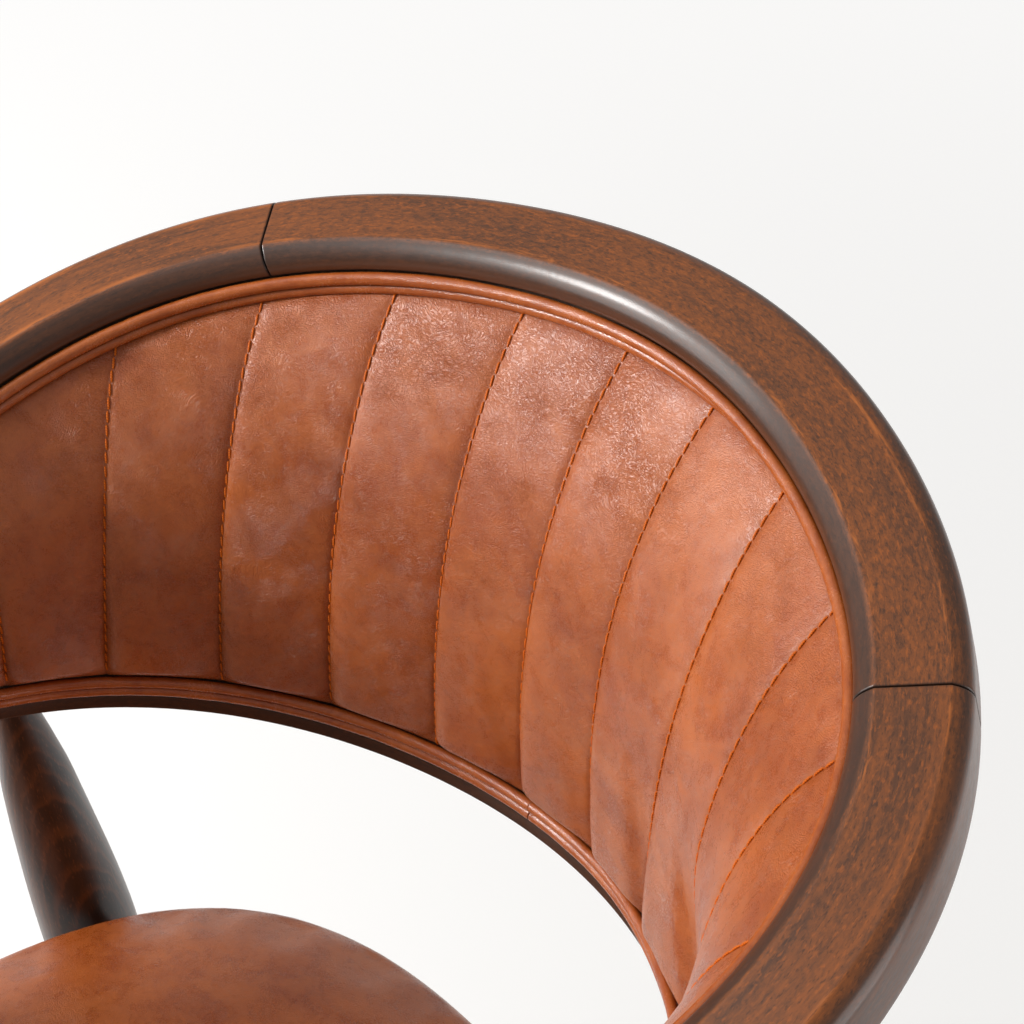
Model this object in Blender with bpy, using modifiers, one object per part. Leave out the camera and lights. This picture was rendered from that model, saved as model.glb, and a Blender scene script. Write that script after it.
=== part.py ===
# Barrel-back dining armchair: a tilted wooden hoop rail carries a crescent of
# channelled leather, a lower rail closes the crescent, four turned legs hold
# both rails and a rounded-square upholstered seat.
# Metres, +Z up. The chair faces -Y; left and right are as seen from the front.
# The origin is on the floor under the middle of the chair.
import math

import bpy
import bmesh
from mathutils import Matrix, Vector

for old in list(bpy.data.objects):
    bpy.data.objects.remove(old, do_unlink=True)

# ------------------------------------------------------------ dimensions
GAP = 0.0003            # clearance between touching pieces
Y0 = 0.0586             # hoop centre in front-to-back direction
Z0 = 0.7630             # hoop centre height
HOOP_R = 0.2575         # mean radius of the hoop's inner arris
HOOP_K = (-0.28591, 0.05488, -0.04913, 0.0215)   # roundness terms of the hoop
HOOP_TILT = math.radians(18.58)                  # the back of the hoop is high
HOOP_IN = 0.0090        # inner face, inward of the inner arris
HOOP_OUT = 0.0350       # outer face, outward of the inner arris
HOOP_T = 0.0330         # rail thickness
HOOP_LIP = 0.0122       # depth of the inner lip over the rebate
HOOP_WALL = 0.0030      # outer wall of the rebate
HOOP_END = 156.0        # where the arms end, in degrees along the hoop
HOOP_STRAIGHT = 100.0   # from here the arms ease out of the round
JOINT_AT = 61.7         # butt joints between the back piece and the arms
JOINT_GAP = 0.0005
DOWEL_R, DOWEL_L = 0.0040, 0.060

LOW_R = 0.20402         # mean radius of the lower rail
LOW_K = (-0.3175, -0.01521, 0.01585)
LOW_TILT = math.radians(-11.99)                  # its back is low
LOW_Y, LOW_Z = -0.00712, -0.19610
LOW_A, LOW_B = 1.23157, -0.06948                 # how its angle follows the hoop's
LOW_END = 144.0
LOW_T, LOW_W = 0.0240, 0.0240
LOW_STRIP = 0.0063      # bare strip under the welts
LOW_REBATE = (0.0070, 0.0100)       # depth of the rebate at the strip and at the top
LOW_RISE, LOW_MEET = 100.0, 137.0   # it sweeps up to the hoop between these

PAD_END = 131.0
FILL_FROM, FILL_RUN = 135.4, 5.6     # the rebates close up beyond the pad
WELT_R = 0.0029
BOARD_T = 0.0050
CANE_T = 0.0016
SPLINE_R = 0.0021

SEAT_Y = -0.1236        # seat centre from the hoop centre
SEAT_A = 0.2163         # half width of the cushion
SEAT_N = 2.6            # squareness of its outline
SEAT_SKIRT, SEAT_EDGE, SEAT_TOP = 0.3980, 0.4437, 0.4745
BOARD_Z0, BOARD_Z1 = 0.3975, 0.4095
RAIL_Z0, RAIL_Z1 = 0.3530, 0.3970
RAIL_W = 0.0200
SIDE_X = 0.1700         # side rails, from the middle
TENON_R, TENON_L = 0.0070, 0.0160
GLIDE_H = 0.0050

DEG = math.pi / 180.0


# ------------------------------------------------------------ collections
def collection(name):
    c = bpy.data.collections.new(name)
    bpy.context.scene.collection.children.link(c)
    return c


PARTS = collection("barrel_back_dining_armchair")
CUTTERS = collection("cutters")


def material(name, color, rough, metal=0.0):
    m = bpy.data.materials.get(name)
    if m:
        return m
    m = bpy.data.materials.new(name)
    m.use_nodes = True
    b = m.node_tree.nodes["Principled BSDF"]
    b.inputs["Base Color"].default_value = (*color, 1.0)
    b.inputs["Roughness"].default_value = rough
    b.inputs["Metallic"].default_value = metal
    m.diffuse_color = (*color, 1.0)
    return m


WALNUT = ((0.105, 0.040, 0.018), 0.42, 0.0)
LEATHER = ((0.36, 0.115, 0.040), 0.45, 0.0)
CANE = ((0.60, 0.43, 0.22), 0.60, 0.0)
PLY = ((0.55, 0.40, 0.24), 0.70, 0.0)
BEECH = ((0.62, 0.44, 0.28), 0.60, 0.0)
STEEL = ((0.60, 0.60, 0.58), 0.35, 1.0)
NYLON = ((0.05, 0.045, 0.04), 0.60, 0.0)


def add(name, mesh, finish, smooth=True, where=PARTS):
    o = bpy.data.objects.new(name, mesh)
    where.objects.link(o)
    if finish:
        mesh.materials.append(material(name, *finish))
    if smooth:
        mesh.shade_smooth()
        mesh.set_sharp_from_angle(angle=math.radians(35))
    return o


def cutter(name, mesh):
    o = add(name, mesh, None, False, CUTTERS)
    o.hide_render = True
    o.display_type = "WIRE"
    return o


def boolean(o, tool, how="DIFFERENCE"):
    m = o.modifiers.new(tool.name, "BOOLEAN")
    m.operation = how
    m.object = tool
    m.solver = "EXACT"
    return m


def from_bmesh(name, bm):
    bmesh.ops.recalc_face_normals(bm, faces=bm.faces)
    if bm.calc_volume(signed=True) < 0:
        bmesh.ops.reverse_faces(bm, faces=bm.faces)
    me = bpy.data.meshes.new(name)
    bm.to_mesh(me)
    bm.free()
    return me


# ------------------------------------------------------------ curves
def smooth(t):
    t = min(1.0, max(0.0, t))
    return t * t * (3 - 2 * t)


def mix(a, b, t):
    return a + (b - a) * t


def planar(radius, k, a):
    """A point of a rounded path in its own plane, a in radians from the back."""
    r = radius * (1 + sum(c * math.cos((i + 1) * a) for i, c in enumerate(k)))
    return r * math.sin(a), r * math.cos(a)


def hoop_path():
    """Inner arris in the hoop's plane, one point a degree, back centre to arm end."""
    n = int(HOOP_STRAIGHT)
    pts = [planar(HOOP_R, HOOP_K, i * DEG) for i in range(n + 1)]
    (x0, v0), (x1, v1), (x2, v2) = pts[-3:]
    head = math.atan2(v2 - v1, x2 - x1)
    turn = head - math.atan2(v1 - v0, x1 - x0)
    step = math.hypot(x2 - x1, v2 - v1)
    for i in range(66):
        turn *= 0.915
        head += turn
        x2, v2 = x2 + step * math.cos(head), v2 + step * math.sin(head)
        pts.append((x2, v2))
    return pts


PATH = hoop_path()


def hoop_plane(u, o, h):
    s = -1.0 if u < 0 else 1.0
    a = abs(u)
    i = min(int(a), len(PATH) - 2)
    f = a - i

    def normal(j):
        j0, j1 = max(j - 1, 0), min(j + 1, len(PATH) - 1)
        if j == 0:
            return Vector((0.0, 1.0))
        t = Vector(PATH[j1]) - Vector(PATH[j0])
        t.normalize()
        return Vector((-t.y, t.x))

    p = Vector(PATH[i]).lerp(Vector(PATH[i + 1]), f)
    n = normal(i).lerp(normal(i + 1), f).normalized()
    p = p + n * o
    return Vector((s * p.x, p.y, h))


def to_world(x, v, h, tilt, y, z):
    c, s = math.cos(tilt), math.sin(tilt)
    return Vector((x, Y0 + y + v * c - h * s, Z0 + z + v * s + h * c))


def hoop(u, o, h):
    """World point: u degrees along the hoop, o outward of its inner arris, h above its top."""
    p = hoop_plane(u, o, h)
    return to_world(p.x, p.y, p.z, HOOP_TILT, 0.0, 0.0)


HOOP_UP = Vector((0, -math.sin(HOOP_TILT), math.cos(HOOP_TILT)))
LOW_UP = Vector((0, -math.sin(LOW_TILT), math.cos(LOW_TILT)))


def low_base(u):
    """Lower inner edge of the lower rail, before it sweeps up."""
    s = -1.0 if u < 0 else 1.0
    a = min(abs(u), 98.0) * DEG
    b = LOW_A * a + LOW_B * a ** 3
    b += (abs(u) - 98.0) * 0.92 * DEG if abs(u) > 98.0 else 0.0
    x, v = planar(LOW_R, LOW_K, b)
    return to_world(s * x, v, 0.0, LOW_TILT, LOW_Y, LOW_Z)


def rise(u):
    return smooth((abs(u) - LOW_RISE) / (LOW_MEET - LOW_RISE))


def midway(u):
    """1 where the rising rail is steepest, 0 where it is level."""
    return 4 * rise(u) * (1 - rise(u))


def low_point(u):
    top = hoop(u, -0.0060, -HOOP_T - LOW_T - GAP)
    return low_base(u).lerp(top, rise(u))


def low_frame(u):
    """Corner, outward and upward directions, and how much a rising rail stretches its upright section."""
    run = low_point(u + 0.5) - low_point(u - 0.5)
    up = LOW_UP.lerp(HOOP_UP, rise(u)).normalized()
    flat = run - up * run.dot(up)
    p = low_point(u)
    return p, up.cross(flat).normalized(), up, run.length / flat.length


def low(u, o, h):
    """World point on the lower rail: o outward and h above its lower inner edge."""
    p, out, up, stretch = low_frame(u)
    return p + out * o + up * h * stretch


def between(a, b, count):
    return [mix(a, b, i / (count - 1)) for i in range(count)]


def mirrored(half):
    return [-u for u in reversed(half[1:])] + half


# every piece of the back shares these stations, closer where the lower rail rises
HALF = between(0.0, 98.0, 20) + between(98.0, PAD_END, 10)[1:]
STATIONS = mirrored(HALF)


# ------------------------------------------------------------ solids
def loft(name, rings, finish, smooth_shade=True):
    """Closed solid through rings of equal point count, capped at both ends."""
    bm = bmesh.new()
    loops = [[bm.verts.new(p) for p in r] for r in rings]
    n = len(rings[0])
    for a, b in zip(loops, loops[1:]):
        for i in range(n):
            j = (i + 1) % n
            bm.faces.new((a[i], a[j], b[j], b[i]))
    bm.faces.new(list(reversed(loops[0])))
    bm.faces.new(loops[-1])
    return add(name, from_bmesh(name, bm), finish, smooth_shade)


def tube(name, points, radius, finish, cyclic=False, res=2):
    cu = bpy.data.curves.new(name, "CURVE")
    cu.dimensions = "3D"
    cu.bevel_depth = radius
    cu.bevel_resolution = res
    cu.use_fill_caps = True
    cu.render_resolution_u = 0
    cu.twist_mode = "MINIMUM"
    sp = cu.splines.new("POLY")
    sp.points.add(len(points) - 1)
    for q, p in zip(sp.points, points):
        q.co = (*p, 1.0)
    sp.use_cyclic_u = cyclic
    o = bpy.data.objects.new(name, cu)
    PARTS.objects.link(o)
    cu.materials.append(material(name, *finish))
    return o


def cylinder(name, p0, p1, radius, finish=None, sides=16, is_cutter=False, r2=None):
    p0, p1 = Vector(p0), Vector(p1)
    d = p1 - p0
    bm = bmesh.new()
    bmesh.ops.create_cone(bm, cap_ends=True, segments=sides, radius1=radius,
                          radius2=radius if r2 is None else r2, depth=d.length)
    rot = d.to_track_quat("Z", "Y").to_matrix().to_4x4()
    bm.transform(Matrix.Translation((p0 + p1) / 2) @ rot)
    me = from_bmesh(name, bm)
    return cutter(name, me) if is_cutter else add(name, me, finish)


def turned(name, profile, top, foot, finish, steps=20):
    """Profile of (radius, distance down from the top) spun about the line top-foot."""
    bm = bmesh.new()
    vs = [bm.verts.new((r, 0, -d)) for r, d in profile]
    for a, b in zip(vs, vs[1:]):
        bm.edges.new((a, b))
    me = bpy.data.meshes.new(name)
    bm.to_mesh(me)
    bm.free()
    o = add(name, me, finish)
    sc = o.modifiers.new("turn", "SCREW")
    sc.axis = "Z"
    sc.steps = steps
    sc.render_steps = steps
    sc.use_merge_vertices = True
    sc.merge_threshold = 0.0001
    sc.use_smooth_shade = True
    o.location = top
    o.rotation_mode = "QUATERNION"
    o.rotation_quaternion = (Vector(top) - Vector(foot)).to_track_quat("Z", "Y")
    return o


def outline(a, n=SEAT_N, count=40, y=SEAT_Y):
    pts = []
    for i in range(count):
        t = 2 * math.pi * i / count
        c, s = math.cos(t), math.sin(t)
        r = (abs(c / a) ** n + abs(s / a) ** n) ** (-1.0 / n)
        pts.append((r * c, Y0 + y + r * s))
    return pts


def plate(name, pts, z0, z1, finish):
    """A flat outline, extruded from z0 to z1."""
    cu = bpy.data.curves.new(name + "_outline", "CURVE")
    cu.dimensions = "2D"
    cu.fill_mode = "BOTH"
    cu.extrude = (z1 - z0) / 2
    sp = cu.splines.new("POLY")
    sp.points.add(len(pts) - 1)
    for q, (x, y) in zip(sp.points, pts):
        q.co = (x, y, 0.0, 1.0)
    sp.use_cyclic_u = True
    tmp = bpy.data.objects.new(name + "_outline", cu)
    tmp.location = (0, 0, (z0 + z1) / 2)
    PARTS.objects.link(tmp)
    bpy.context.view_layer.update()
    dg = bpy.context.evaluated_depsgraph_get()
    me = bpy.data.meshes.new_from_object(tmp.evaluated_get(dg))
    me.transform(tmp.matrix_world)
    bm = bmesh.new()
    bm.from_mesh(me)
    bmesh.ops.remove_doubles(bm, verts=bm.verts, dist=0.00005)
    bpy.data.meshes.remove(me)
    bpy.data.objects.remove(tmp)
    return add(name, from_bmesh(name, bm), finish, False)


# ------------------------------------------------------------ hoop rail
def hoop_section(u):
    """Closed outline of the rail as (outward, up); the rebate closes near the arm ends."""
    w = smooth((abs(u) - FILL_FROM) / FILL_RUN)
    e = HOOP_IN
    lip = mix(HOOP_LIP, 0.0270, w)
    back = mix(HOOP_WALL, -0.0040, w)
    bottom = mix(HOOP_WALL, -0.0050, w)
    return [
        (-e, -lip), (-e, -0.0110), (-0.0083, -0.0068), (-0.0064, -0.0032), (-0.0034, -0.0008), (0.0, 0.0),
        (0.0290, 0.0), (0.0320, -0.0008), (0.0342, -0.0030), (HOOP_OUT, -0.0060),
        (HOOP_OUT, -0.0270), (0.0332, -0.0312), (0.0290, -HOOP_T),
        (bottom, -HOOP_T), (mix(back, -e, w * 0.5), -lip - mix(0.0, 0.0015, w)),
    ]


def hoop_ring(u, shrink=1.0):
    mid = (HOOP_OUT - HOOP_IN) / 2
    hs = 1.0 - (1.0 - shrink) * 0.35
    return [hoop(u, mid + (o - mid) * shrink, -HOOP_T / 2 + (h + HOOP_T / 2) * hs) for o, h in hoop_section(u)]


def along(u, dist):
    """u moved on by a distance in metres along the hoop's middle."""
    a, b = hoop(u, 0.012, 0), hoop(u + 0.5, 0.012, 0)
    return u + 0.5 * dist / (b - a).length


def hoop_piece(name, u0, u1, step, rounded_end=False):
    count = max(2, int(round(abs(u1 - u0) / step)) + 1)
    us = between(u0, u1, count)
    rings = [hoop_ring(u) for u in us]
    if rounded_end:
        s = 1.0 if u1 > u0 else -1.0
        nose = 0.0200
        d_prev = 0.0
        for k in (0.35, 0.62, 0.82, 0.94, 0.99):
            u = along(u1, s * nose * k)
            rings.append(hoop_ring(u, math.sqrt(1 - k * k)))
    if (u1 - u0) < 0:
        rings = [list(reversed(r)) for r in rings]
    return loft(name, rings, WALNUT)


half_gap = JOINT_GAP / 2
cut_in = along(JOINT_AT, half_gap) - JOINT_AT
hoop_back = hoop_piece("hoop_back", -(JOINT_AT - cut_in), JOINT_AT - cut_in, 4.4)
hoop_arm_right = hoop_piece("hoop_arm_right", JOINT_AT + cut_in, HOOP_END - 4.5, 4.4, True)
hoop_arm_left = hoop_piece("hoop_arm_left", -(JOINT_AT + cut_in), -(HOOP_END - 4.5), 4.4, True)

for side, s in (("left", -1), ("right", 1)):
    u = s * JOINT_AT
    run = (hoop(u + 0.5, 0.012, 0) - hoop(u - 0.5, 0.012, 0)).normalized()
    for where, o in (("inner", 0.0080), ("outer", 0.0240)):
        c = hoop(u, o, -0.0190)
        cylinder(f"joint_dowel_{side}_{where}", c - run * DOWEL_L / 2, c + run * DOWEL_L / 2,
                 DOWEL_R, BEECH, 12)
        bore = cylinder(f"bore_dowel_{side}_{where}", c - run * (DOWEL_L / 2 + GAP * 2),
                        c + run * (DOWEL_L / 2 + GAP * 2), DOWEL_R + GAP, None, 12, True)
        boolean(hoop_back, bore)
        boolean(hoop_arm_left if s < 0 else hoop_arm_right, bore)


# ------------------------------------------------------------ lower rail
def low_section(u):
    w = smooth((abs(u) - FILL_FROM) / FILL_RUN)
    near, far = LOW_REBATE[0] + 0.0022 * midway(u), LOW_REBATE[1] + 0.0050 * midway(u)
    base = [(0.0, 0.0008), (0.0, LOW_STRIP), (near, LOW_STRIP), (far, 0.0222), (far + 0.0012, LOW_T),
            (0.0205, LOW_T), (LOW_W, 0.0205), (LOW_W, 0.0040), (0.0200, 0.0), (0.0010, 0.0)]
    full = [(0.0, 0.0040), (0.0, 0.0130), (0.0006, 0.0190), (0.0024, 0.0222), (0.0050, LOW_T),
            (0.0180, LOW_T), (0.0225, 0.0205), (0.0225, 0.0050), (0.0180, 0.0), (0.0040, 0.0)]
    return [(mix(a, c, w), mix(b, d, w)) for (a, b), (c, d) in zip(base, full)]


def low_ring(u):
    # from here on the rail thins towards its scarfed end under the arm
    e = smooth((abs(u) - LOW_MEET) / (LOW_END - LOW_MEET))
    ring = []
    for o, h in low_section(u):
        h2 = LOW_T - (LOW_T - h) * mix(1.0, 0.38, e)
        o2 = 0.0112 + (o - 0.0112) * mix(1.0, 0.72, e)
        ring.append(low(u, o2, h2))
    return ring


lower_rail = loft("lower_rail", [low_ring(u) for u in mirrored(HALF + between(PAD_END, LOW_END, 6)[1:])], WALNUT)


for side, s in (("left", -1), ("right", 1)):
    c = hoop(s * 139.0, 0.0080, -HOOP_T)
    cylinder(f"rail_dowel_{side}", c - HOOP_UP * 0.0090, c + HOOP_UP * 0.0130, 0.0030, BEECH, 12)
    bore = cylinder(f"bore_rail_dowel_{side}", c - HOOP_UP * 0.0095, c + HOOP_UP * 0.0135, 0.0030 + GAP, None, 12, True)
    boolean(lower_rail, bore)
    boolean(hoop_arm_left if s < 0 else hoop_arm_right, bore)


# ------------------------------------------------------------ upholstered back
def height(p):
    """Height above the hoop's top plane."""
    return (p - Vector((0, Y0, Z0))).dot(HOOP_UP)


def panel(u):
    """Ends of the back's chord at the outer welts, its direction down and its outward normal."""
    a, b = hoop(u, *WELT_TOP), low(u, *WELT_LOW)
    run = (hoop(u + 0.5, 0, 0) - hoop(u - 0.5, 0, 0)).normalized()
    down = (b - a).normalized()
    out = run.cross(down).normalized()
    if out.dot(hoop(u, 0.01, 0) - hoop(u, 0, 0)) < 0:
        out = -out
    return a, b, down, out


def board_top(u, back=0.0):
    """Front face of the backing board under the hoop's lip; back moves it outward."""
    a, _, down, out = panel(u)
    p = a + out * (BOARD_TOP + back)
    return p + down * ((height(p) + HOOP_LIP + 0.0004) / -down.dot(HOOP_UP))


def board_low(u, back=0.0):
    _, b, down, out = panel(u)
    q, _, up, stretch = low_frame(u)
    p = b + out * (BOARD_LOW + back)
    return p + down * (((p - q).dot(up) - (LOW_STRIP + 0.0006 + 0.0012 * midway(u)) * stretch) / -down.dot(up))


def inward(u):
    a, b = hoop_plane(u, 0, 0), hoop_plane(u, -0.01, 0)
    d = b - a
    return Vector((d.x, d.y, 0)).normalized()


WELT_TOP, WELT_TOP_IN = (-0.0104, -0.0156), (-0.0124, -0.0215)   # welt centres on the hoop
WELT_LOW, WELT_LOW_IN = (-0.0018, 0.0097), (-0.0040, 0.0157)     # and on the lower rail
BOARD_TOP, BOARD_LOW = 0.0046, 0.0033     # board's face behind the outer welt's centre
PAD_PUFF, PAD_LEAN, PAD_SKEW, CHANNEL = 0.0174, 0.0083, -0.254, 0.0030


def pad_face(u, t):
    """Front of the pad: t runs from the top welt, 0, to the bottom welt, 1."""
    a, b = hoop(u, -0.0124, -0.0248), low(u, -0.0058, 0.0206)
    e = 1.0 - smooth((abs(u) - 98.0) / 32.0)
    w = 4 * t * (1 - t) * (1 + PAD_SKEW * (2 * t - 1))
    p = a.lerp(b, t)
    return p + (inward(u) * (PAD_PUFF + CHANNEL) + Vector((0, -PAD_LEAN, 0))) * w * e


def pad_ring(u):
    ring = [pad_face(u, t) for t in between(0.0, 1.0, 8)]
    a, b = board_top(u, -3 * GAP), board_low(u, -3 * GAP)
    d = (b - a).normalized()
    lo, hi = (ring[-1] - a).dot(d), (ring[0] - a).dot(d)
    ring += [a + d * lo, a + d * (lo + hi) / 2, a + d * hi]
    return ring


loft("back_pad", [pad_ring(u) for u in STATIONS], LEATHER)


def curved_panel(name, top, bottom, us, thick, finish):
    """A panel of even thickness whose edges are trimmed level with the two rails."""
    rings = []
    for u in us:
        a, b = top(u), bottom(u)
        out = panel(u)[3]
        d1 = (hoop(u, 0.01, 0) - hoop(u, 0, 0)).normalized()
        d2 = low_frame(u)[1]
        c, d = a + d1 * (thick / out.dot(d1)), b + d2 * (thick / out.dot(d2))
        rings.append([a, a.lerp(b, 0.5), b, d, d.lerp(c, 0.5), c])
    return loft(name, rings, finish)


curved_panel("back_board", board_top, board_low, STATIONS, BOARD_T, PLY)
curved_panel("cane_panel", lambda u: hoop(u, mix(0.0190, 0.0095, rise(u)), -HOOP_T - 0.0006),
             lambda u: low(u, 0.0150, LOW_T + 0.0010), STATIONS[1:-1], CANE_T, CANE)
tube("cane_spline_top", [hoop(u, mix(0.0231, 0.0139, rise(u)), -HOOP_T - SPLINE_R - 0.0006) for u in STATIONS[2:-2]],
     SPLINE_R, CANE)
tube("cane_spline_bottom", [low(u, 0.0203 + 0.0044 * midway(u), LOW_T + SPLINE_R + 0.0008) for u in STATIONS[3:-3]],
     SPLINE_R, CANE)

# two welts sewn side by side run right round the pad
def welt_loop(top, bottom, tip):
    """Along the top, round the tip, back along the bottom and round the other tip."""
    def turn(s):
        pts = []
        for k in range(1, 6):
            a = math.pi * k / 6
            u = s * (PAD_END + tip * math.sin(a))
            pts.append(top(u).lerp(bottom(u), (1 - math.cos(a)) / 2))
        return pts
    return [top(u) for u in STATIONS] + turn(1) + [bottom(u) for u in reversed(STATIONS)] + list(reversed(turn(-1)))


tube("back_welt_outer", welt_loop(lambda u: hoop(u, *WELT_TOP), lambda u: low(u, *WELT_LOW), 3.6),
     WELT_R, LEATHER, True)
tube("back_welt_inner", welt_loop(lambda u: hoop(u, *WELT_TOP_IN), lambda u: low(u, *WELT_LOW_IN), 2.2),
     WELT_R, LEATHER, True)


# ------------------------------------------------------------ legs
REAR_U, FRONT_U = 96.3, 148.5
REAR_SPLAY, REAR_RAKE = 0.080, 0.157      # outward and backward for each metre down
FRONT_SPLAY, FRONT_RAKE = 0.046, 0.125    # outward and forward for each metre down
LEG_SHAPE = ((0.000, 0.0090), (0.015, 0.0115), (0.034, 0.0148), (0.053, 0.0177), (0.080, 0.0201), (0.108, 0.0220),
             (0.140, 0.0236), (0.172, 0.0245), (0.205, 0.0249), (0.240, 0.0248), (0.285, 0.0240), (0.340, 0.0224),
             (0.400, 0.0201), (0.460, 0.0175), (0.520, 0.0148), (0.575, 0.0122), (0.640, 0.0100))


def leg_line(kind, s):
    if kind == "rear":
        top = low(s * REAR_U, 0.0140, -GAP)
        d = Vector((s * REAR_SPLAY, REAR_RAKE, -1.0))
    else:
        top = hoop(s * FRONT_U, 0.0130, -HOOP_T - GAP)
        d = Vector((s * FRONT_SPLAY, -FRONT_RAKE, -1.0))
    return top, d.normalized()


def at_height(kind, s, z):
    top, d = leg_line(kind, s)
    return top + d * ((z - top.z) / d.z)


def leg_radius(kind, z):
    top, d = leg_line(kind, 1)
    dist = (z - top.z) / d.z
    prof = leg_profile(kind)
    for (r0, d0), (r1, d1) in zip(prof, prof[1:]):
        if d0 <= dist <= d1 and d1 > d0:
            return mix(r0, r1, (dist - d0) / (d1 - d0))
    return prof[-1][0]


def leg_profile(kind):
    """(radius, distance from the shoulder); the front legs are longer above the seat."""
    top, d = leg_line(kind, 1)
    full = (top.z + 0.02) / -d.z
    seat = (top.z - 0.385) / -d.z
    out = []
    for dist, r in LEG_SHAPE:
        if dist <= 0.205:
            q = dist * seat / 0.205 if kind == "front" else dist
        else:
            base = seat if kind == "front" else 0.205
            q = base + (dist - 0.205) / (0.640 - 0.205) * (full - base)
        out.append((r, q))
    return out


TOP_TENON = {"rear": (0.0045, 0.0100), "front": (0.0060, 0.0160)}     # radius, length
legs = {}
for kind in ("rear", "front"):
    for side, s in (("left", -1), ("right", 1)):
        top, d = leg_line(kind, s)
        prof = leg_profile(kind)
        # the shoulder is trimmed square to the leg, a little below the rail it meets
        up = LOW_UP if kind == "rear" else HOOP_UP
        drop = prof[0][0] * math.tan(math.acos(max(-1.0, min(1.0, -d.dot(up))))) + 0.0002
        tenon_r, tenon_l = TOP_TENON[kind]
        body = [(0.0, -tenon_l), (tenon_r, -tenon_l), (tenon_r, drop), (prof[0][0], drop)]
        body += [(r, q) for r, q in prof[1:]]
        body += [(0.0, prof[-1][1])]
        name = f"{kind}_leg_{side}"
        foot = top + d
        leg = turned(name, body, top, foot, WALNUT)
        box = bmesh.new()
        bmesh.ops.create_cube(box, size=1.0)
        fp = at_height(kind, s, 0.0)
        box.transform(Matrix.Translation((fp.x, fp.y, GLIDE_H - 0.05)) @ Matrix.Diagonal((0.1, 0.1, 0.1, 1)))
        boolean(leg, cutter(f"trim_{name}", from_bmesh(f"trim_{name}", box)))
        legs[(kind, side)] = leg
        bore = cylinder(f"bore_top_{name}", top - d * (tenon_l + 0.0006), top + d * 0.004,
                        tenon_r + GAP, None, 20, True)
        boolean(lower_rail if kind == "rear" else (hoop_arm_left if s < 0 else hoop_arm_right), bore)
        # glide: a nylon disc with a pin pressed up into the foot
        g = at_height(kind, s, GLIDE_H)
        pin = cylinder(f"bore_glide_{name}", (g.x, g.y, -0.01), (g.x, g.y, GLIDE_H + 0.0145), 0.0024, None, 12, True)
        boolean(leg, pin)
        prof_g = [(0.0, 0.0), (0.0021, 0.0), (0.0021, 0.0145 - GAP), (0.0095, 0.0145 - GAP),
                  (0.0100, 0.0152 - GAP), (0.0100, 0.0180), (0.0085, 0.0190), (0.0, 0.0190)]
        turned(f"glide_{kind}_{side}", prof_g, (g.x, g.y, 0.0190), (g.x, g.y, 0.0), NYLON, 16)


# ------------------------------------------------------------ seat frame
def bar(name, a, b, sockets):
    """A rail from a to b with a round tenon at each end, let into the pieces in sockets."""
    run = (b - a).normalized()
    side = Vector((0, 0, 1)).cross(run).normalized()
    m = Matrix(((*run, 0), (*side, 0), (0, 0, 1, 0), (0, 0, 0, 1))).transposed()
    bm = bmesh.new()
    bmesh.ops.create_cube(bm, size=1.0)
    bm.transform(Matrix.Translation((a + b) / 2) @ m @ Matrix.Diagonal(((b - a).length, RAIL_W, RAIL_Z1 - RAIL_Z0, 1)))
    o = add(name, from_bmesh(name, bm), WALNUT, False)
    bev = o.modifiers.new("eased_edges", "BEVEL")
    bev.width = 0.0015
    bev.segments = 1
    bev.limit_method = "ANGLE"
    for tag, p, d, (length, other) in (("a", a, -run, sockets[0]), ("b", b, run, sockets[1])):
        boolean(o, cylinder(f"tenon_{name}_{tag}", p - d * 0.004, p + d * length, TENON_R, None, 16, True), "UNION")
        boolean(other, cylinder(f"socket_{name}_{tag}", p - d * 0.002, p + d * (length + 0.0006), TENON_R + GAP,
                                None, 16, True))
    return o


ZR = (RAIL_Z0 + RAIL_Z1) / 2
cross = {}
for kind in ("front", "rear"):
    pa, pb = at_height(kind, -1, ZR), at_height(kind, 1, ZR)
    run = (pb - pa).normalized()
    reach = leg_radius(kind, ZR) + 0.0016
    cross[kind] = bar(f"seat_rail_{kind}", pa + run * reach, pb - run * reach,
                      ((TENON_L, legs[(kind, "left")]), (TENON_L, legs[(kind, "right")])))
y_front = at_height("front", 1, ZR).y + RAIL_W / 2
y_rear = at_height("rear", 1, ZR).y - RAIL_W / 2
for side, s in (("left", -1), ("right", 1)):
    bar(f"seat_rail_{side}", Vector((s * SIDE_X, y_front + GAP, ZR)), Vector((s * SIDE_X, y_rear - GAP, ZR)),
        ((0.0120, cross["front"]), (0.0120, cross["rear"])))


# ------------------------------------------------------------ seat
board = plate("seat_board", outline(SEAT_A - 0.0100), BOARD_Z0, BOARD_Z1, PLY)


def cushion_rings():
    def ring(a, z):
        return [Vector((x, y, z)) for x, y in outline(a)]
    inner = SEAT_A - 0.0100 + GAP
    rings = [ring(0.02, BOARD_Z1 + GAP), ring(inner * 0.55, BOARD_Z1 + GAP), ring(inner, BOARD_Z1 + GAP),
             ring(inner, SEAT_SKIRT), ring(SEAT_A - 0.0060, SEAT_SKIRT), ring(SEAT_A - 0.0030, SEAT_SKIRT + 0.0050)]
    edge = 0.0300
    rings += [ring(SEAT_A - 0.0004, SEAT_EDGE - edge + 0.004)]
    for k in (20, 40, 58, 74, 90):
        c, s = math.cos(k * DEG), math.sin(k * DEG)
        rings.append(ring(SEAT_A - edge * (1 - c), SEAT_EDGE - edge + edge * s))
    top = SEAT_TOP - SEAT_EDGE
    for f in (0.75, 0.5, 0.25, 0.08):
        rings.append(ring((SEAT_A - edge) * f, SEAT_EDGE + top * (1 - f * f)))
    return rings


loft("seat_cushion", cushion_rings(), LEATHER)

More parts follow.
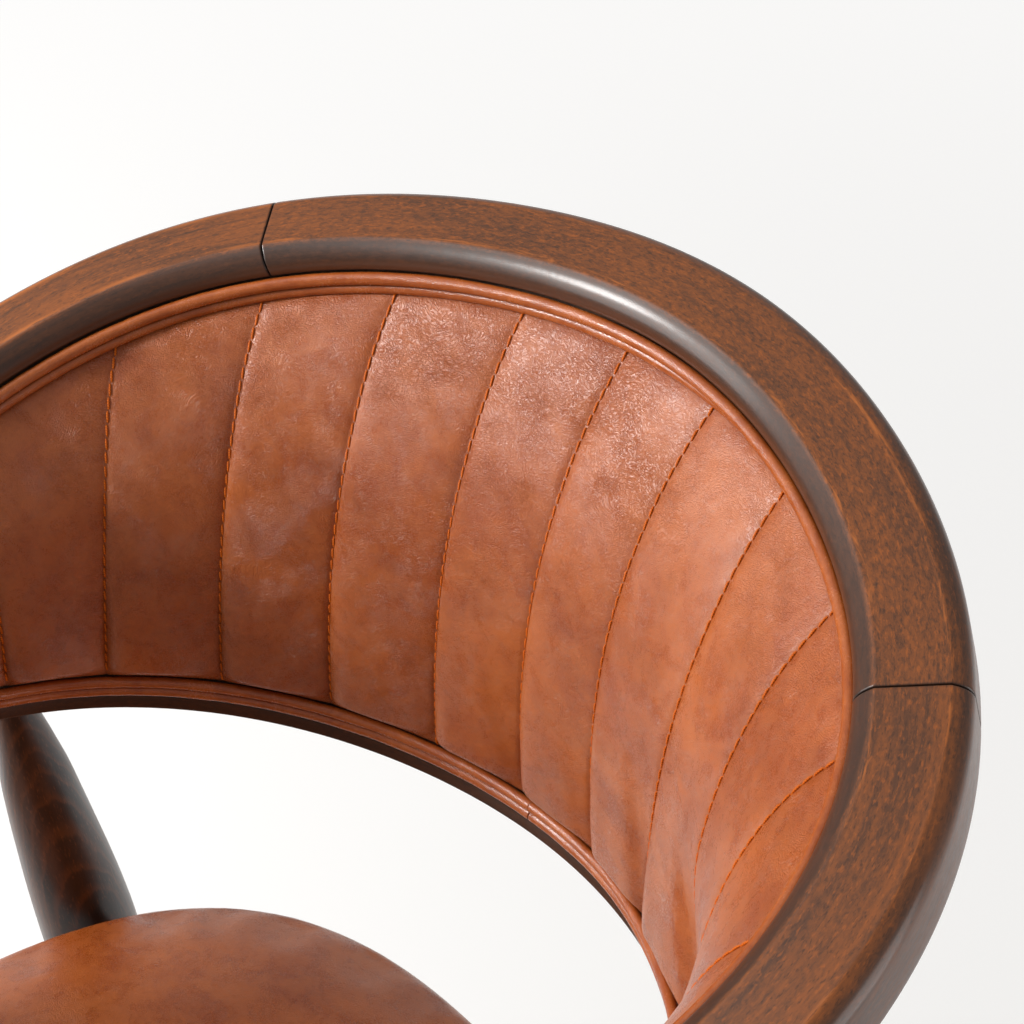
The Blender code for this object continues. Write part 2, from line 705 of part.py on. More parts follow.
# corner blocks glued into the frame, each with a screw up into the seat board
BLOCK_Z0, BLOCK_Z1 = 0.3580, 0.3945
BLOCK = 0.0560
for kind, y, sy in (("front", y_front + GAP, 1), ("rear", y_rear - GAP, -1)):
    for side, s in (("left", -1), ("right", 1)):
        x = s * (SIDE_X - RAIL_W / 2 - GAP)
        name = f"corner_block_{kind}_{side}"
        pts = [(0.0, 0.0), (BLOCK, 0.0), (BLOCK, 0.009), (0.009, BLOCK), (0.0, BLOCK)]
        block = plate(name, [(x - s * a, y + sy * b) for a, b in pts], BLOCK_Z0, BLOCK_Z1, BEECH)
        cx, cy = x - s * 0.021, y + sy * 0.021
        hole = cylinder(f"bore_screw_{name}", (cx, cy, 0.30), (cx, cy, BOARD_Z0 + 0.0092), 0.0021, None, 12, True)
        boolean(block, hole)
        boolean(board, hole)
        boolean(block, cylinder(f"sink_screw_{name}", (cx, cy, BLOCK_Z0 - 0.002), (cx, cy, BLOCK_Z0 + 0.0033), 0.0044,
                                None, 16, True))
        tip, head = BOARD_Z0 + 0.0088, BLOCK_Z0 + 0.0004
        prof = [(0.0, 0.0), (0.0010, 0.0018), (0.0018, 0.0050), (0.0018, tip - head - 0.0024),
                (0.0040, tip - head - 0.0002), (0.0040, tip - head), (0.0, tip - head)]
        turned(f"seat_screw_{kind}_{side}", prof, (cx, cy, tip), (cx, cy, 0.0), STEEL, 12)
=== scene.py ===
import math

import bmesh
import bpy
import numpy as np
from mathutils import Matrix, Vector, kdtree, noise


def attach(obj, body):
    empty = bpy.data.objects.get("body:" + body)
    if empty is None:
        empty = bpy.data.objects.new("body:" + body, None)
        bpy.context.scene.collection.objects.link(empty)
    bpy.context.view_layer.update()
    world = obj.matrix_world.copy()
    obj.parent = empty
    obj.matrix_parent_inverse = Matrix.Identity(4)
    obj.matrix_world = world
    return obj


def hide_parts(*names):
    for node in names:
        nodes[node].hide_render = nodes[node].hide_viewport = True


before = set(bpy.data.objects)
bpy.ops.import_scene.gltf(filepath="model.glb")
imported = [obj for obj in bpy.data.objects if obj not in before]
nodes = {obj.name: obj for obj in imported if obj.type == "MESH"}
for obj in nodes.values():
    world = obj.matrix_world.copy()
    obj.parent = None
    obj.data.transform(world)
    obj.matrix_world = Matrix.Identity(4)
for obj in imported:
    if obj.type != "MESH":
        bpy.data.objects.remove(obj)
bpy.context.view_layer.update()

# ------------------------------------------------------------ the chair's curves
GAP = 0.0003
Y0, Z0 = 0.0586, 0.7630
HOOP_R = 0.2575
HOOP_K = (-0.28591, 0.05488, -0.04913, 0.0215)
HOOP_TILT = math.radians(18.58)
HOOP_IN, HOOP_OUT, HOOP_T = 0.0090, 0.0350, 0.0330
HOOP_LIP, HOOP_WALL = 0.0122, 0.0030
HOOP_END, HOOP_STRAIGHT = 156.0, 100.0
JOINT_AT, JOINT_GAP = 61.7, 0.0005
LOW_R = 0.20402
LOW_K = (-0.3175, -0.01521, 0.01585)
LOW_TILT = math.radians(-11.99)
LOW_Y, LOW_Z = -0.00712, -0.19610
LOW_A, LOW_B = 1.23157, -0.06948
LOW_END, LOW_T, LOW_W, LOW_STRIP = 144.0, 0.0240, 0.0240, 0.0063
LOW_REBATE = (0.0070, 0.0100)
LOW_RISE, LOW_MEET = 100.0, 137.0
PAD_END = 131.0
FILL_FROM, FILL_RUN = 135.4, 5.6
WELT_R = 0.0029
WELT_TOP, WELT_TOP_IN = (-0.0104, -0.0156), (-0.0124, -0.0215)
WELT_SHOW, WELT_SHOW_IN = (-0.0107, -0.0158), (-0.0110, -0.0212)
WELT_LOW, WELT_LOW_IN = (-0.0018, 0.0097), (-0.0040, 0.0157)
CORD_LOW, CORD_LOW_IN = (-0.0031, 0.0127), (-0.0055, 0.0188)
BOARD_TOP, BOARD_LOW = 0.0046, 0.0033
PAD_PUFF, PAD_LEAN, PAD_SKEW = 0.0174, 0.0083, -0.254
SPLINE_R = 0.0021
SEAT_Y, SEAT_A, SEAT_N = -0.1236, 0.2163, 2.6
SEAT_SKIRT, SEAT_EDGE, SEAT_TOP = 0.3980, 0.4437, 0.4745
GLIDE_H = 0.0050
REAR_U, FRONT_U = 96.3, 148.5
REAR_SPLAY, REAR_RAKE = 0.080, 0.157
FRONT_SPLAY, FRONT_RAKE = 0.046, 0.125
LEG_SHAPE = ((0.000, 0.0090), (0.015, 0.0115), (0.034, 0.0148), (0.053, 0.0177), (0.080, 0.0201), (0.108, 0.0220),
             (0.140, 0.0236), (0.172, 0.0245), (0.205, 0.0249), (0.240, 0.0248), (0.285, 0.0240), (0.340, 0.0224),
             (0.400, 0.0201), (0.460, 0.0175), (0.520, 0.0148), (0.575, 0.0122), (0.640, 0.0100))
DEG = math.pi / 180.0


def smooth(t):
    t = min(1.0, max(0.0, t))
    return t * t * (3 - 2 * t)


def mix(a, b, t):
    return a + (b - a) * t


def between(a, b, count):
    return [mix(a, b, i / (count - 1)) for i in range(count)]


def planar(radius, k, a):
    r = radius * (1 + sum(c * math.cos((i + 1) * a) for i, c in enumerate(k)))
    return r * math.sin(a), r * math.cos(a)


def hoop_path():
    n = int(HOOP_STRAIGHT)
    pts = [planar(HOOP_R, HOOP_K, i * DEG) for i in range(n + 1)]
    (x0, v0), (x1, v1), (x2, v2) = pts[-3:]
    head = math.atan2(v2 - v1, x2 - x1)
    turn = head - math.atan2(v1 - v0, x1 - x0)
    step = math.hypot(x2 - x1, v2 - v1)
    for i in range(66):
        turn *= 0.915
        head += turn
        x2, v2 = x2 + step * math.cos(head), v2 + step * math.sin(head)
        pts.append((x2, v2))
    return pts


PATH = hoop_path()


def hoop_plane(u, o, h):
    s = -1.0 if u < 0 else 1.0
    a = abs(u)
    i = min(int(a), len(PATH) - 2)
    f = a - i

    def normal(j):
        j0, j1 = max(j - 1, 0), min(j + 1, len(PATH) - 1)
        if j == 0:
            return Vector((0.0, 1.0))
        t = Vector(PATH[j1]) - Vector(PATH[j0])
        t.normalize()
        return Vector((-t.y, t.x))

    p = Vector(PATH[i]).lerp(Vector(PATH[i + 1]), f)
    n = normal(i).lerp(normal(i + 1), f).normalized()
    p = p + n * o
    return Vector((s * p.x, p.y, h))


def to_world(x, v, h, tilt, y, z):
    c, s = math.cos(tilt), math.sin(tilt)
    return Vector((x, Y0 + y + v * c - h * s, Z0 + z + v * s + h * c))


def hoop(u, o, h):
    p = hoop_plane(u, o, h)
    return to_world(p.x, p.y, p.z, HOOP_TILT, 0.0, 0.0)


HOOP_UP = Vector((0, -math.sin(HOOP_TILT), math.cos(HOOP_TILT)))
LOW_UP = Vector((0, -math.sin(LOW_TILT), math.cos(LOW_TILT)))


def low_base(u):
    s = -1.0 if u < 0 else 1.0
    a = min(abs(u), 98.0) * DEG
    b = LOW_A * a + LOW_B * a ** 3
    b += (abs(u) - 98.0) * 0.92 * DEG if abs(u) > 98.0 else 0.0
    x, v = planar(LOW_R, LOW_K, b)
    return to_world(s * x, v, 0.0, LOW_TILT, LOW_Y, LOW_Z)


def rise(u):
    return smooth((abs(u) - LOW_RISE) / (LOW_MEET - LOW_RISE))


def midway(u):
    return 4 * rise(u) * (1 - rise(u))


def low_point(u):
    top = hoop(u, -0.0060, -HOOP_T - LOW_T - GAP)
    return low_base(u).lerp(top, rise(u))


LOW_FRAMES = {}


def low_frame(u):
    key = round(u, 4)
    if key not in LOW_FRAMES:
        run = low_point(u + 0.5) - low_point(u - 0.5)
        up = LOW_UP.lerp(HOOP_UP, rise(u)).normalized()
        flat = run - up * run.dot(up)
        LOW_FRAMES[key] = (low_point(u), up.cross(flat).normalized(), up, run.length / flat.length)
    return LOW_FRAMES[key]


def low(u, o, h):
    p, out, up, stretch = low_frame(u)
    return p + out * o + up * h * stretch


def height(p):
    return (p - Vector((0, Y0, Z0))).dot(HOOP_UP)


def panel(u):
    a, b = hoop(u, *WELT_TOP), low(u, *WELT_LOW)
    run = (hoop(u + 0.5, 0, 0) - hoop(u - 0.5, 0, 0)).normalized()
    down = (b - a).normalized()
    out = run.cross(down).normalized()
    if out.dot(hoop(u, 0.01, 0) - hoop(u, 0, 0)) < 0:
        out = -out
    return a, b, down, out


def board_top(u, back=0.0):
    a, _, down, out = panel(u)
    p = a + out * (BOARD_TOP + back)
    return p + down * ((height(p) + HOOP_LIP + 0.0004) / -down.dot(HOOP_UP))


def board_low(u, back=0.0):
    _, b, down, out = panel(u)
    q, _, up, stretch = low_frame(u)
    p = b + out * (BOARD_LOW + back)
    return p + down * (((p - q).dot(up) - (LOW_STRIP + 0.0006 + 0.0012 * midway(u)) * stretch) / -down.dot(up))


def inward(u):
    a, b = hoop_plane(u, 0, 0), hoop_plane(u, -0.01, 0)
    d = b - a
    return Vector((d.x, d.y, 0)).normalized()


def outline(a, n=SEAT_N, count=40, y=SEAT_Y):
    pts = []
    for i in range(count):
        t = 2 * math.pi * i / count
        c, s = math.cos(t), math.sin(t)
        r = (abs(c / a) ** n + abs(s / a) ** n) ** (-1.0 / n)
        pts.append((r * c, Y0 + y + r * s))
    return pts


def leg_line(kind, s):
    if kind == "rear":
        top = low(s * REAR_U, 0.0140, -GAP)
        d = Vector((s * REAR_SPLAY, REAR_RAKE, -1.0))
    else:
        top = hoop(s * FRONT_U, 0.0130, -HOOP_T - GAP)
        d = Vector((s * FRONT_SPLAY, -FRONT_RAKE, -1.0))
    return top, d.normalized()


def leg_profile(kind):
    top, d = leg_line(kind, 1)
    full = (top.z + 0.02) / -d.z
    seat = (top.z - 0.385) / -d.z
    out = []
    for dist, r in LEG_SHAPE:
        if dist <= 0.205:
            q = dist * seat / 0.205 if kind == "front" else dist
        else:
            base = seat if kind == "front" else 0.205
            q = base + (dist - 0.205) / (0.640 - 0.205) * (full - base)
        out.append((r, q))
    return out


# arc length along the hoop's middle, so that the grain has a true scale
ARC_U = np.arange(-160.0, 160.01, 1.0)
_arc = [hoop(float(u), 0.012, 0.0) for u in ARC_U]
ARC_S = np.concatenate([[0.0], np.cumsum([(b - a).length for a, b in zip(_arc, _arc[1:])])])
ARC_S = ARC_S - np.interp(0.0, ARC_U, ARC_S)


def arc(u):
    return float(np.interp(u, ARC_U, ARC_S))


# ------------------------------------------------------------ mesh helpers
def finish_mesh(name, bm, angle=40.0, smooth_shade=True):
    bmesh.ops.recalc_face_normals(bm, faces=bm.faces)
    if bm.calc_volume(signed=True) < 0:
        bmesh.ops.reverse_faces(bm, faces=bm.faces)
    me = bpy.data.meshes.new(name)
    bm.to_mesh(me)
    bm.free()
    if smooth_shade:
        me.shade_smooth()
        me.set_sharp_from_angle(angle=math.radians(angle))
    o = bpy.data.objects.new(name, me)
    bpy.context.scene.collection.objects.link(o)
    return o


def vector_layer(bm, name):
    return bm.verts.layers.float_vector.new(name)


def loft(name, rings, coords=None, cyclic=False, angle=40.0, extra=None):
    """Closed skin through rings of equal point count. coords gives each point its place in
    the stock (along, across, up) for the grain; extra is a second scalar for dark joints and painted shade."""
    bm = bmesh.new()
    grain = vector_layer(bm, "grain")
    wear_and_shade = bm.verts.layers.float.new("wear_and_shade")
    loops = []
    for k, ring in enumerate(rings):
        row = []
        for j, p in enumerate(ring):
            v = bm.verts.new(p)
            if coords:
                v[grain] = coords[k][j]
            if extra:
                v[wear_and_shade] = extra[k][j]
            row.append(v)
        loops.append(row)
    n = len(rings[0])
    pairs = list(zip(loops, loops[1:]))
    if cyclic:
        pairs.append((loops[-1], loops[0]))
    for a, b in pairs:
        for i in range(n):
            j = (i + 1) % n
            bm.faces.new((a[i], a[j], b[j], b[i]))
    if not cyclic:
        bm.faces.new(list(reversed(loops[0])))
        bm.faces.new(loops[-1])
    return finish_mesh(name, bm, angle)


def bezier(p0, p1, p2, count):
    out = []
    for i in range(count):
        t = i / (count - 1)
        out.append(tuple((1 - t) ** 2 * a + 2 * t * (1 - t) * b + t * t * c for a, b, c in zip(p0, p1, p2)))
    return out


def corner(p, a, b, r, count=4):
    """Round the corner at p between the neighbours a and b."""
    pv, av, bv = Vector(p), Vector(a), Vector(b)
    da, db = (av - pv), (bv - pv)
    r = min(r, da.length * 0.45, db.length * 0.45)
    return bezier(tuple(pv + da.normalized() * r), p, tuple(pv + db.normalized() * r), count)


def rounded(points, radii, count=4):
    out = []
    n = len(points)
    for i, p in enumerate(points):
        if radii[i] <= 0:
            out.append(p)
        else:
            out += corner(p, points[i - 1], points[(i + 1) % n], radii[i], count)
    return out


def piece(o, body="root", stands_for=()):
    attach(o, body)
    if stands_for:
        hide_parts(*stands_for)
    return o


# ------------------------------------------------------------ materials
class Graph:
    """Small helper to wire shader nodes."""

    def __init__(self, name):
        self.m = bpy.data.materials.new(name)
        self.m.use_nodes = True
        self.t = self.m.node_tree
        self.bsdf = self.t.nodes["Principled BSDF"]

    def node(self, kind, **props):
        n = self.t.nodes.new(kind)
        inputs = props.pop("inputs", {})
        for k, v in props.items():
            setattr(n, k, v)
        for k, v in inputs.items():
            self.put(n.inputs[k], v)
        return n

    def put(self, socket, v):
        if isinstance(v, bpy.types.NodeSocket):
            self.t.links.new(v, socket)
        elif isinstance(v, (tuple, list)) and socket.type == "RGBA" and len(v) == 3:
            socket.default_value = (*v, 1.0)
        else:
            socket.default_value = v

    def math(self, op, a, b=0.0, clamp=False):
        n = self.node("ShaderNodeMath", operation=op, use_clamp=clamp)
        self.put(n.inputs[0], a)
        self.put(n.inputs[1], b)
        return n.outputs[0]

    def ramp(self, v, a, b, to0=0.0, to1=1.0):
        n = self.node("ShaderNodeMapRange", interpolation_type="SMOOTHSTEP",
                      inputs={"Value": v, "From Min": a, "From Max": b, "To Min": to0, "To Max": to1})
        return n.outputs[0]

    def blend(self, f, a, b, how="MIX"):
        n = self.node("ShaderNodeMix", data_type="RGBA", blend_type=how)
        self.put(n.inputs["Factor"], f)
        self.put(n.inputs["A"], a)
        self.put(n.inputs["B"], b)
        return n.outputs["Result"]

    def scaled(self, vec, s):
        n = self.node("ShaderNodeVectorMath", operation="MULTIPLY")
        self.put(n.inputs[0], vec)
        self.put(n.inputs[1], s)
        return n.outputs[0]

    def offset(self, vec, s):
        n = self.node("ShaderNodeVectorMath", operation="ADD")
        self.put(n.inputs[0], vec)
        self.put(n.inputs[1], s)
        return n.outputs[0]

    def noise(self, vec, scale, detail=2.0, rough=0.5, distortion=0.0):
        n = self.node("ShaderNodeTexNoise", noise_dimensions="3D",
                      inputs={"Vector": vec, "Scale": scale, "Detail": detail, "Roughness": rough,
                              "Distortion": distortion})
        return n.outputs["Fac"]

    def voronoi(self, vec, scale, feature="F1", out="Distance", randomness=1.0):
        n = self.node("ShaderNodeTexVoronoi", feature=feature,
                      inputs={"Vector": vec, "Scale": scale, "Randomness": randomness})
        return n.outputs[out]

    def attribute(self, name, out="Vector"):
        return self.node("ShaderNodeAttribute", attribute_name=name, attribute_type="GEOMETRY").outputs[out]

    def place(self):
        return self.node("ShaderNodeTexCoord").outputs["Object"]

    def split(self, vec):
        n = self.node("ShaderNodeSeparateXYZ")
        self.put(n.inputs[0], vec)
        return n.outputs

    def bump(self, height_value, strength, distance, normal=None):
        n = self.node("ShaderNodeBump", inputs={"Strength": strength, "Distance": distance, "Height": height_value})
        if normal is not None:
            self.put(n.inputs["Normal"], normal)
        return n.outputs[0]


def wood_material(name, rail=True, seed=0.0, streak=0.0, rub_from=0.47, deep=0.0):
    """Dark chocolate stain over a fine-pored wood: soft rusty mottling along the grain, small
    dark pores, and stain rubbed thin in broken streaks beside the arrises."""
    g = Graph(name)
    raw = g.attribute("grain")
    p = g.offset(raw, (seed, seed * 0.37, seed * 0.11))
    ax = g.split(raw)
    cloud = g.noise(g.scaled(p, (0.30, 1.0, 1.0)), 36.0, 3.0, 0.55, 0.4)
    mottle = g.noise(g.scaled(p, (0.42, 1.0, 1.0)), 560.0, 4.0, 0.76, 0.5)
    lines = g.noise(g.scaled(p, (0.045, 1.0, 1.0)), 330.0, 3.0, 0.6, 0.3)
    tone = g.math("ADD", g.math("MULTIPLY", cloud, 0.26),
                  g.math("ADD", g.math("MULTIPLY", mottle, 0.58 - 0.34 * streak),
                         g.math("MULTIPLY", lines, 0.16 + 0.34 * streak)))
    base = g.blend(g.ramp(tone, 0.385, 0.625), (0.098, 0.0392, 0.0192), (0.250, 0.0745, 0.0190))
    # a few brighter rust flecks
    fleck = g.noise(g.scaled(p, (0.34, 1.0, 1.0)), 760.0, 2.0, 0.6, 0.25)
    fleck = g.ramp(fleck, 0.555, 0.70)
    base = g.blend(g.math("MULTIPLY", fleck, 0.55), base, (0.36, 0.098, 0.0190))
    # small dark pores
    pore = g.noise(g.scaled(p, (0.30, 1.0, 1.0)), 980.0, 2.0, 0.6)
    pore = g.ramp(pore, 0.44, 0.30)
    base = g.blend(g.math("MULTIPLY", pore, 0.48), base, (0.030, 0.0190, 0.0130))
    if rail:
        # painted shade: the rounded edges are darkened to stand for the dark reflection they show; the inner wall is
        # redder low down
        edge_in = g.ramp(ax[1], 0.0006, -0.0022)
        edge_out = g.ramp(ax[1], 0.0292, 0.0330)
        base = g.blend(g.math("MULTIPLY", edge_in, 0.80), base, (0.030, 0.0150, 0.0100))
        base = g.blend(g.math("MULTIPLY", edge_out, 0.60), base, (0.034, 0.0175, 0.0120))
        wall = g.math("MULTIPLY", g.ramp(ax[2], -0.0052, -0.0088), g.ramp(ax[1], 0.0, -0.006))
        base = g.blend(g.math("MULTIPLY", wall, 0.60), base, (0.105, 0.0330, 0.0110))
        # painted shade: near black under the lip, in the shadowed gap above the welts
        under = g.math("MULTIPLY", g.ramp(ax[2], -0.0108, -0.0121), g.ramp(ax[1], 0.0, -0.006))
        base = g.blend(g.math("MULTIPLY", under, 0.80), base, (0.012, 0.0060, 0.0035))
        # stain rubbed thin on the top, just inside the two arrises
        for at, wide, cut in ((0.0014, 0.0020, 0.0), (0.0272, 0.0021, 5.3)):
            d = g.math("ABSOLUTE", g.math("SUBTRACT", ax[1], at))
            near = g.ramp(d, wide, 0.0)
            top = g.ramp(ax[2], -0.0012, -0.0003)
            brk = g.noise(g.scaled(g.offset(p, (cut, 0.0, 0.0)), (0.10, 1.0, 1.0)), 330.0, 4.0, 0.7, 0.6)
            area = g.noise(g.scaled(g.offset(p, (cut + 2.0, 0.0, 0.0)), (1.0, 0.2, 0.2)), 17.0, 2.0, 0.5)
            rub = g.math("MULTIPLY", g.math("MULTIPLY", near, top), g.ramp(brk, rub_from, rub_from + 0.15))
            rub = g.math("MULTIPLY", rub, g.ramp(area, 0.40, 0.60, 0.25, 1.0))
            base = g.blend(g.math("MULTIPLY", rub, 0.80), base, (0.47, 0.138, 0.0300))
    # deep darkens the whole piece: painted shade for a rail that faces down, away from the light
    if deep:
        base = g.blend(deep, base, (0.016, 0.0075, 0.0045))
    worn = g.attribute("wear_and_shade", "Fac")
    base = g.blend(g.math("MULTIPLY", worn, 0.9), base, (0.010, 0.0065, 0.005))
    g.put(g.bsdf.inputs["Base Color"], base)
    rough = g.math("ADD", g.ramp(mottle, 0.3, 0.7, 0.36, 0.46), g.math("MULTIPLY", g.ramp(cloud, 0.3, 0.7), 0.04))
    g.put(g.bsdf.inputs["Roughness"], rough)
    g.bsdf.inputs["Specular IOR Level"].default_value = 0.26
    g.bsdf.inputs["Coat Weight"].default_value = 0.38
    g.bsdf.inputs["Coat Roughness"].default_value = 0.19
    fine = g.noise(g.scaled(p, (0.14, 1.0, 1.0)), 1100.0, 3.0, 0.6)
    n1 = g.bump(fine, 0.18, 0.00018)
    n2 = g.bump(g.noise(p, 75.0, 1.0, 0.4), 0.10, 0.0012, n1)
    g.put(g.bsdf.inputs["Normal"], n2)
    n3 = g.bump(g.noise(g.scaled(p, (1.0, 0.25, 0.25)), 210.0, 2.0, 0.5), 0.10, 0.0004)
    g.put(g.bsdf.inputs["Coat Normal"], n3)
    return g.m


def leg_material(name, seed=0.0):
    """The same stain on turned stock: growth rings cut by the taper show as nested arches."""
    g = Graph(name)
    raw = g.attribute("grain")
    p = g.offset(raw, (seed, 0.0, 0.0))
    warp = g.noise(g.scaled(p, (0.35, 1.0, 1.0)), 34.0, 2.0, 0.5)
    warp2 = g.noise(g.scaled(p, (0.12, 1.0, 1.0)), 190.0, 2.0, 0.5)
    ax = g.split(raw)
    # rings round a heart line that runs past the leg at a slight slant: the taper cuts them in arches
    face = g.math("ADD", ax[2], g.math("MULTIPLY", ax[1], 0.02))
    lie = ax[1]
    hx = g.math("ADD", face, g.math("ADD", 0.020, g.math("MULTIPLY", ax[0], 0.021)))
    hy = g.math("ADD", lie, -0.0025)
    dist = g.math("SQRT", g.math("ADD", g.math("MULTIPLY", hx, hx), g.math("MULTIPLY", hy, hy)))
    dist = g.math("ADD", dist, g.math("MULTIPLY", g.math("SUBTRACT", warp, 0.5), 0.0060))
    dist = g.math("ADD", dist, g.math("MULTIPLY", g.math("SUBTRACT", warp2, 0.5), 0.0010))
    ring = g.math("FRACT", g.math("MULTIPLY", dist, 400.0))
    late = g.math("MULTIPLY", g.ramp(ring, 0.45, 0.88), g.ramp(ring, 1.0, 0.86))
    base = g.blend(g.math("MULTIPLY", late, 0.62), (0.017, 0.0070, 0.0038), (0.095, 0.0270, 0.0065))
    cloud = g.noise(g.scaled(p, (0.30, 1.0, 1.0)), 60.0, 2.0, 0.5)
    base = g.blend(g.math("MULTIPLY", g.ramp(cloud, 0.40, 0.66), 0.50), base, (0.085, 0.0270, 0.0090))
    fleck = g.ramp(g.noise(g.scaled(p, (0.20, 1.0, 1.0)), 900.0, 2.0, 0.6), 0.55, 0.72)
    base = g.blend(g.math("MULTIPLY", fleck, 0.35), base, (0.20, 0.060, 0.0150))
    pore = g.ramp(g.noise(g.scaled(p, (0.09, 1.0, 1.0)), 1300.0, 1.5, 0.5), 0.42, 0.30)
    base = g.blend(g.math("MULTIPLY", pore, 0.65), base, (0.014, 0.009, 0.006))
    g.put(g.bsdf.inputs["Base Color"], base)
    g.put(g.bsdf.inputs["Roughness"], g.ramp(cloud, 0.3, 0.7, 0.36, 0.44))
    g.bsdf.inputs["Specular IOR Level"].default_value = 0.36
    g.bsdf.inputs["Coat Weight"].default_value = 0.30
    g.bsdf.inputs["Coat Roughness"].default_value = 0.24
    fine = g.noise(g.scaled(p, (0.10, 1.0, 1.0)), 1300.0, 3.0, 0.6)
    n1 = g.bump(fine, 0.22, 0.00020)
    g.put(g.bsdf.inputs["Normal"], n1)
    g.put(g.bsdf.inputs["Coat Normal"], n1)
    return g.m


def board_wood_material(name, light, dark, pore, axis=(1.0, 1.0, 0.1), rough=0.6, rings=320.0):
    """Plain sawn stock without a stain, grain along the squeezed axis."""
    g = Graph(name)
    p = g.place()
    q = g.scaled(p, axis)
    warp = g.noise(q, 24.0, 2.0, 0.5)
    lines = g.noise(q, rings, 3.0, 0.6, 0.5)
    base = g.blend(g.ramp(g.math("ADD", g.math("MULTIPLY", warp, 0.5), g.math("MULTIPLY", lines, 0.5)), 0.38, 0.62),
                   light, dark)
    fl = g.ramp(g.noise(g.scaled(q, (1.0, 1.0, 1.6)), 1200.0, 2.0, 0.6), 0.44, 0.30)
    base = g.blend(g.math("MULTIPLY", fl, 0.6), base, pore)
    g.put(g.bsdf.inputs["Base Color"], base)
    g.put(g.bsdf.inputs["Roughness"], g.ramp(lines, 0.3, 0.7, rough, rough + 0.14))
    g.put(g.bsdf.inputs["Normal"], g.bump(lines, 0.25, 0.0003))
    return g.m


def leather_material(name, coord="place", seed=0.0, shade_and_wear_name=None, stretch=(1.0, 1.0, 1.0), lift=1.0, gloss=0.0, relief=1.0):
    """Cognac aniline leather: clouded dye, fine pebble with hair cells, faint creases."""
    g = Graph(name)
    p = g.place() if coord == "place" else g.attribute(coord)
    p = g.offset(p, (seed, seed * 0.7, seed * 0.3))
    q = g.scaled(p, stretch)
    cloud = g.noise(q, 17.0, 5.0, 0.62, 0.5)
    cloud2 = g.noise(q, 70.0, 4.0, 0.62, 0.8)
    fine = g.noise(q, 520.0, 3.0, 0.65)
    tone = g.math("ADD", g.math("MULTIPLY", cloud, 0.44),
                  g.math("ADD", g.math("MULTIPLY", cloud2, 0.34), g.math("MULTIPLY", fine, 0.22)))
    dark = tuple(c * lift for c in (0.285, 0.0540, 0.0075))
    pale = tuple(c * lift for c in (0.470, 0.1220, 0.0240))
    base = g.blend(g.ramp(tone, 0.330, 0.670), dark, pale)
    # scattered darker specks where the dye sat in hair cells
    speck = g.ramp(g.noise(q, 950.0, 2.0, 0.7), 0.42, 0.28)
    base = g.blend(g.math("MULTIPLY", speck, 0.14), base, (0.150, 0.0300, 0.0070))
    # the named attribute darkens the leather: painted shade in seams, crevices and edges tucked behind other parts, and
    # dark butt joints in the welts
    if shade_and_wear_name:
        w = g.attribute(shade_and_wear_name, "Fac")
        base = g.blend(g.math("MULTIPLY", w, 0.70), base, (0.095, 0.0170, 0.0035))
    g.put(g.bsdf.inputs["Base Color"], base)
    cells = g.voronoi(q, 1500.0, "DISTANCE_TO_EDGE")
    cells = g.ramp(cells, 0.0, 0.24)
    pebble = g.noise(q, 1250.0, 3.0, 0.62, 0.4)
    # faint creases, long in one direction, bunched in places
    warp = g.node("ShaderNodeTexNoise", inputs={"Vector": q, "Scale": 34.0, "Detail": 2.0})
    bent = g.offset(q, g.scaled(warp.outputs["Color"], (0.026, 0.026, 0.026)))
    crease = g.math("ABSOLUTE", g.math("SUBTRACT", g.noise(g.scaled(bent, (0.62, 0.62, 1.7)), 760.0, 2.0, 0.60), 0.5))
    crease = g.ramp(crease, 0.0, 0.085)
    gate = g.ramp(g.noise(q, 21.0, 2.0, 0.5), 0.36, 0.60, 0.35, 1.0)
    rough = g.math("ADD", g.ramp(cloud2, 0.3, 0.7, 0.238 - gloss, 0.298 - gloss),
                   g.math("MULTIPLY", g.ramp(pebble, 0.3, 0.7), 0.05))
    g.put(g.bsdf.inputs["Roughness"], rough)
    g.bsdf.inputs["Specular IOR Level"].default_value = 0.62
    n1 = g.bump(cells, 0.22 * relief, 0.00014)
    n2 = g.bump(pebble, 0.52 * relief, 0.00028, n1)
    n3 = g.bump(g.math("MULTIPLY", g.math("SUBTRACT", crease, 1.0), gate), 0.66 * relief, 0.00027, n2)
    n4 = g.bump(cloud2, 0.10 * relief, 0.0009, n3)
    g.put(g.bsdf.inputs["Normal"], n4)
    return g.m


def thread_material(name):
    g = Graph(name)
    p = g.attribute("grain")
    ax = g.split(p)
    # two plies twisted round each other
    twist = g.math("SINE", g.math("ADD", g.math("MULTIPLY", ax[0], 5200.0), g.math("MULTIPLY", ax[1], 6.2832)))
    base = g.blend(g.ramp(twist, -0.9, 0.6), (0.42, 0.062, 0.0028), (0.78, 0.185, 0.0085))
    g.put(g.bsdf.inputs["Base Color"], base)
    g.bsdf.inputs["Roughness"].default_value = 0.55
    g.bsdf.inputs["Specular IOR Level"].default_value = 0.20
    g.put(g.bsdf.inputs["Normal"], g.bump(twist, 0.6, 0.00012))
    return g.m


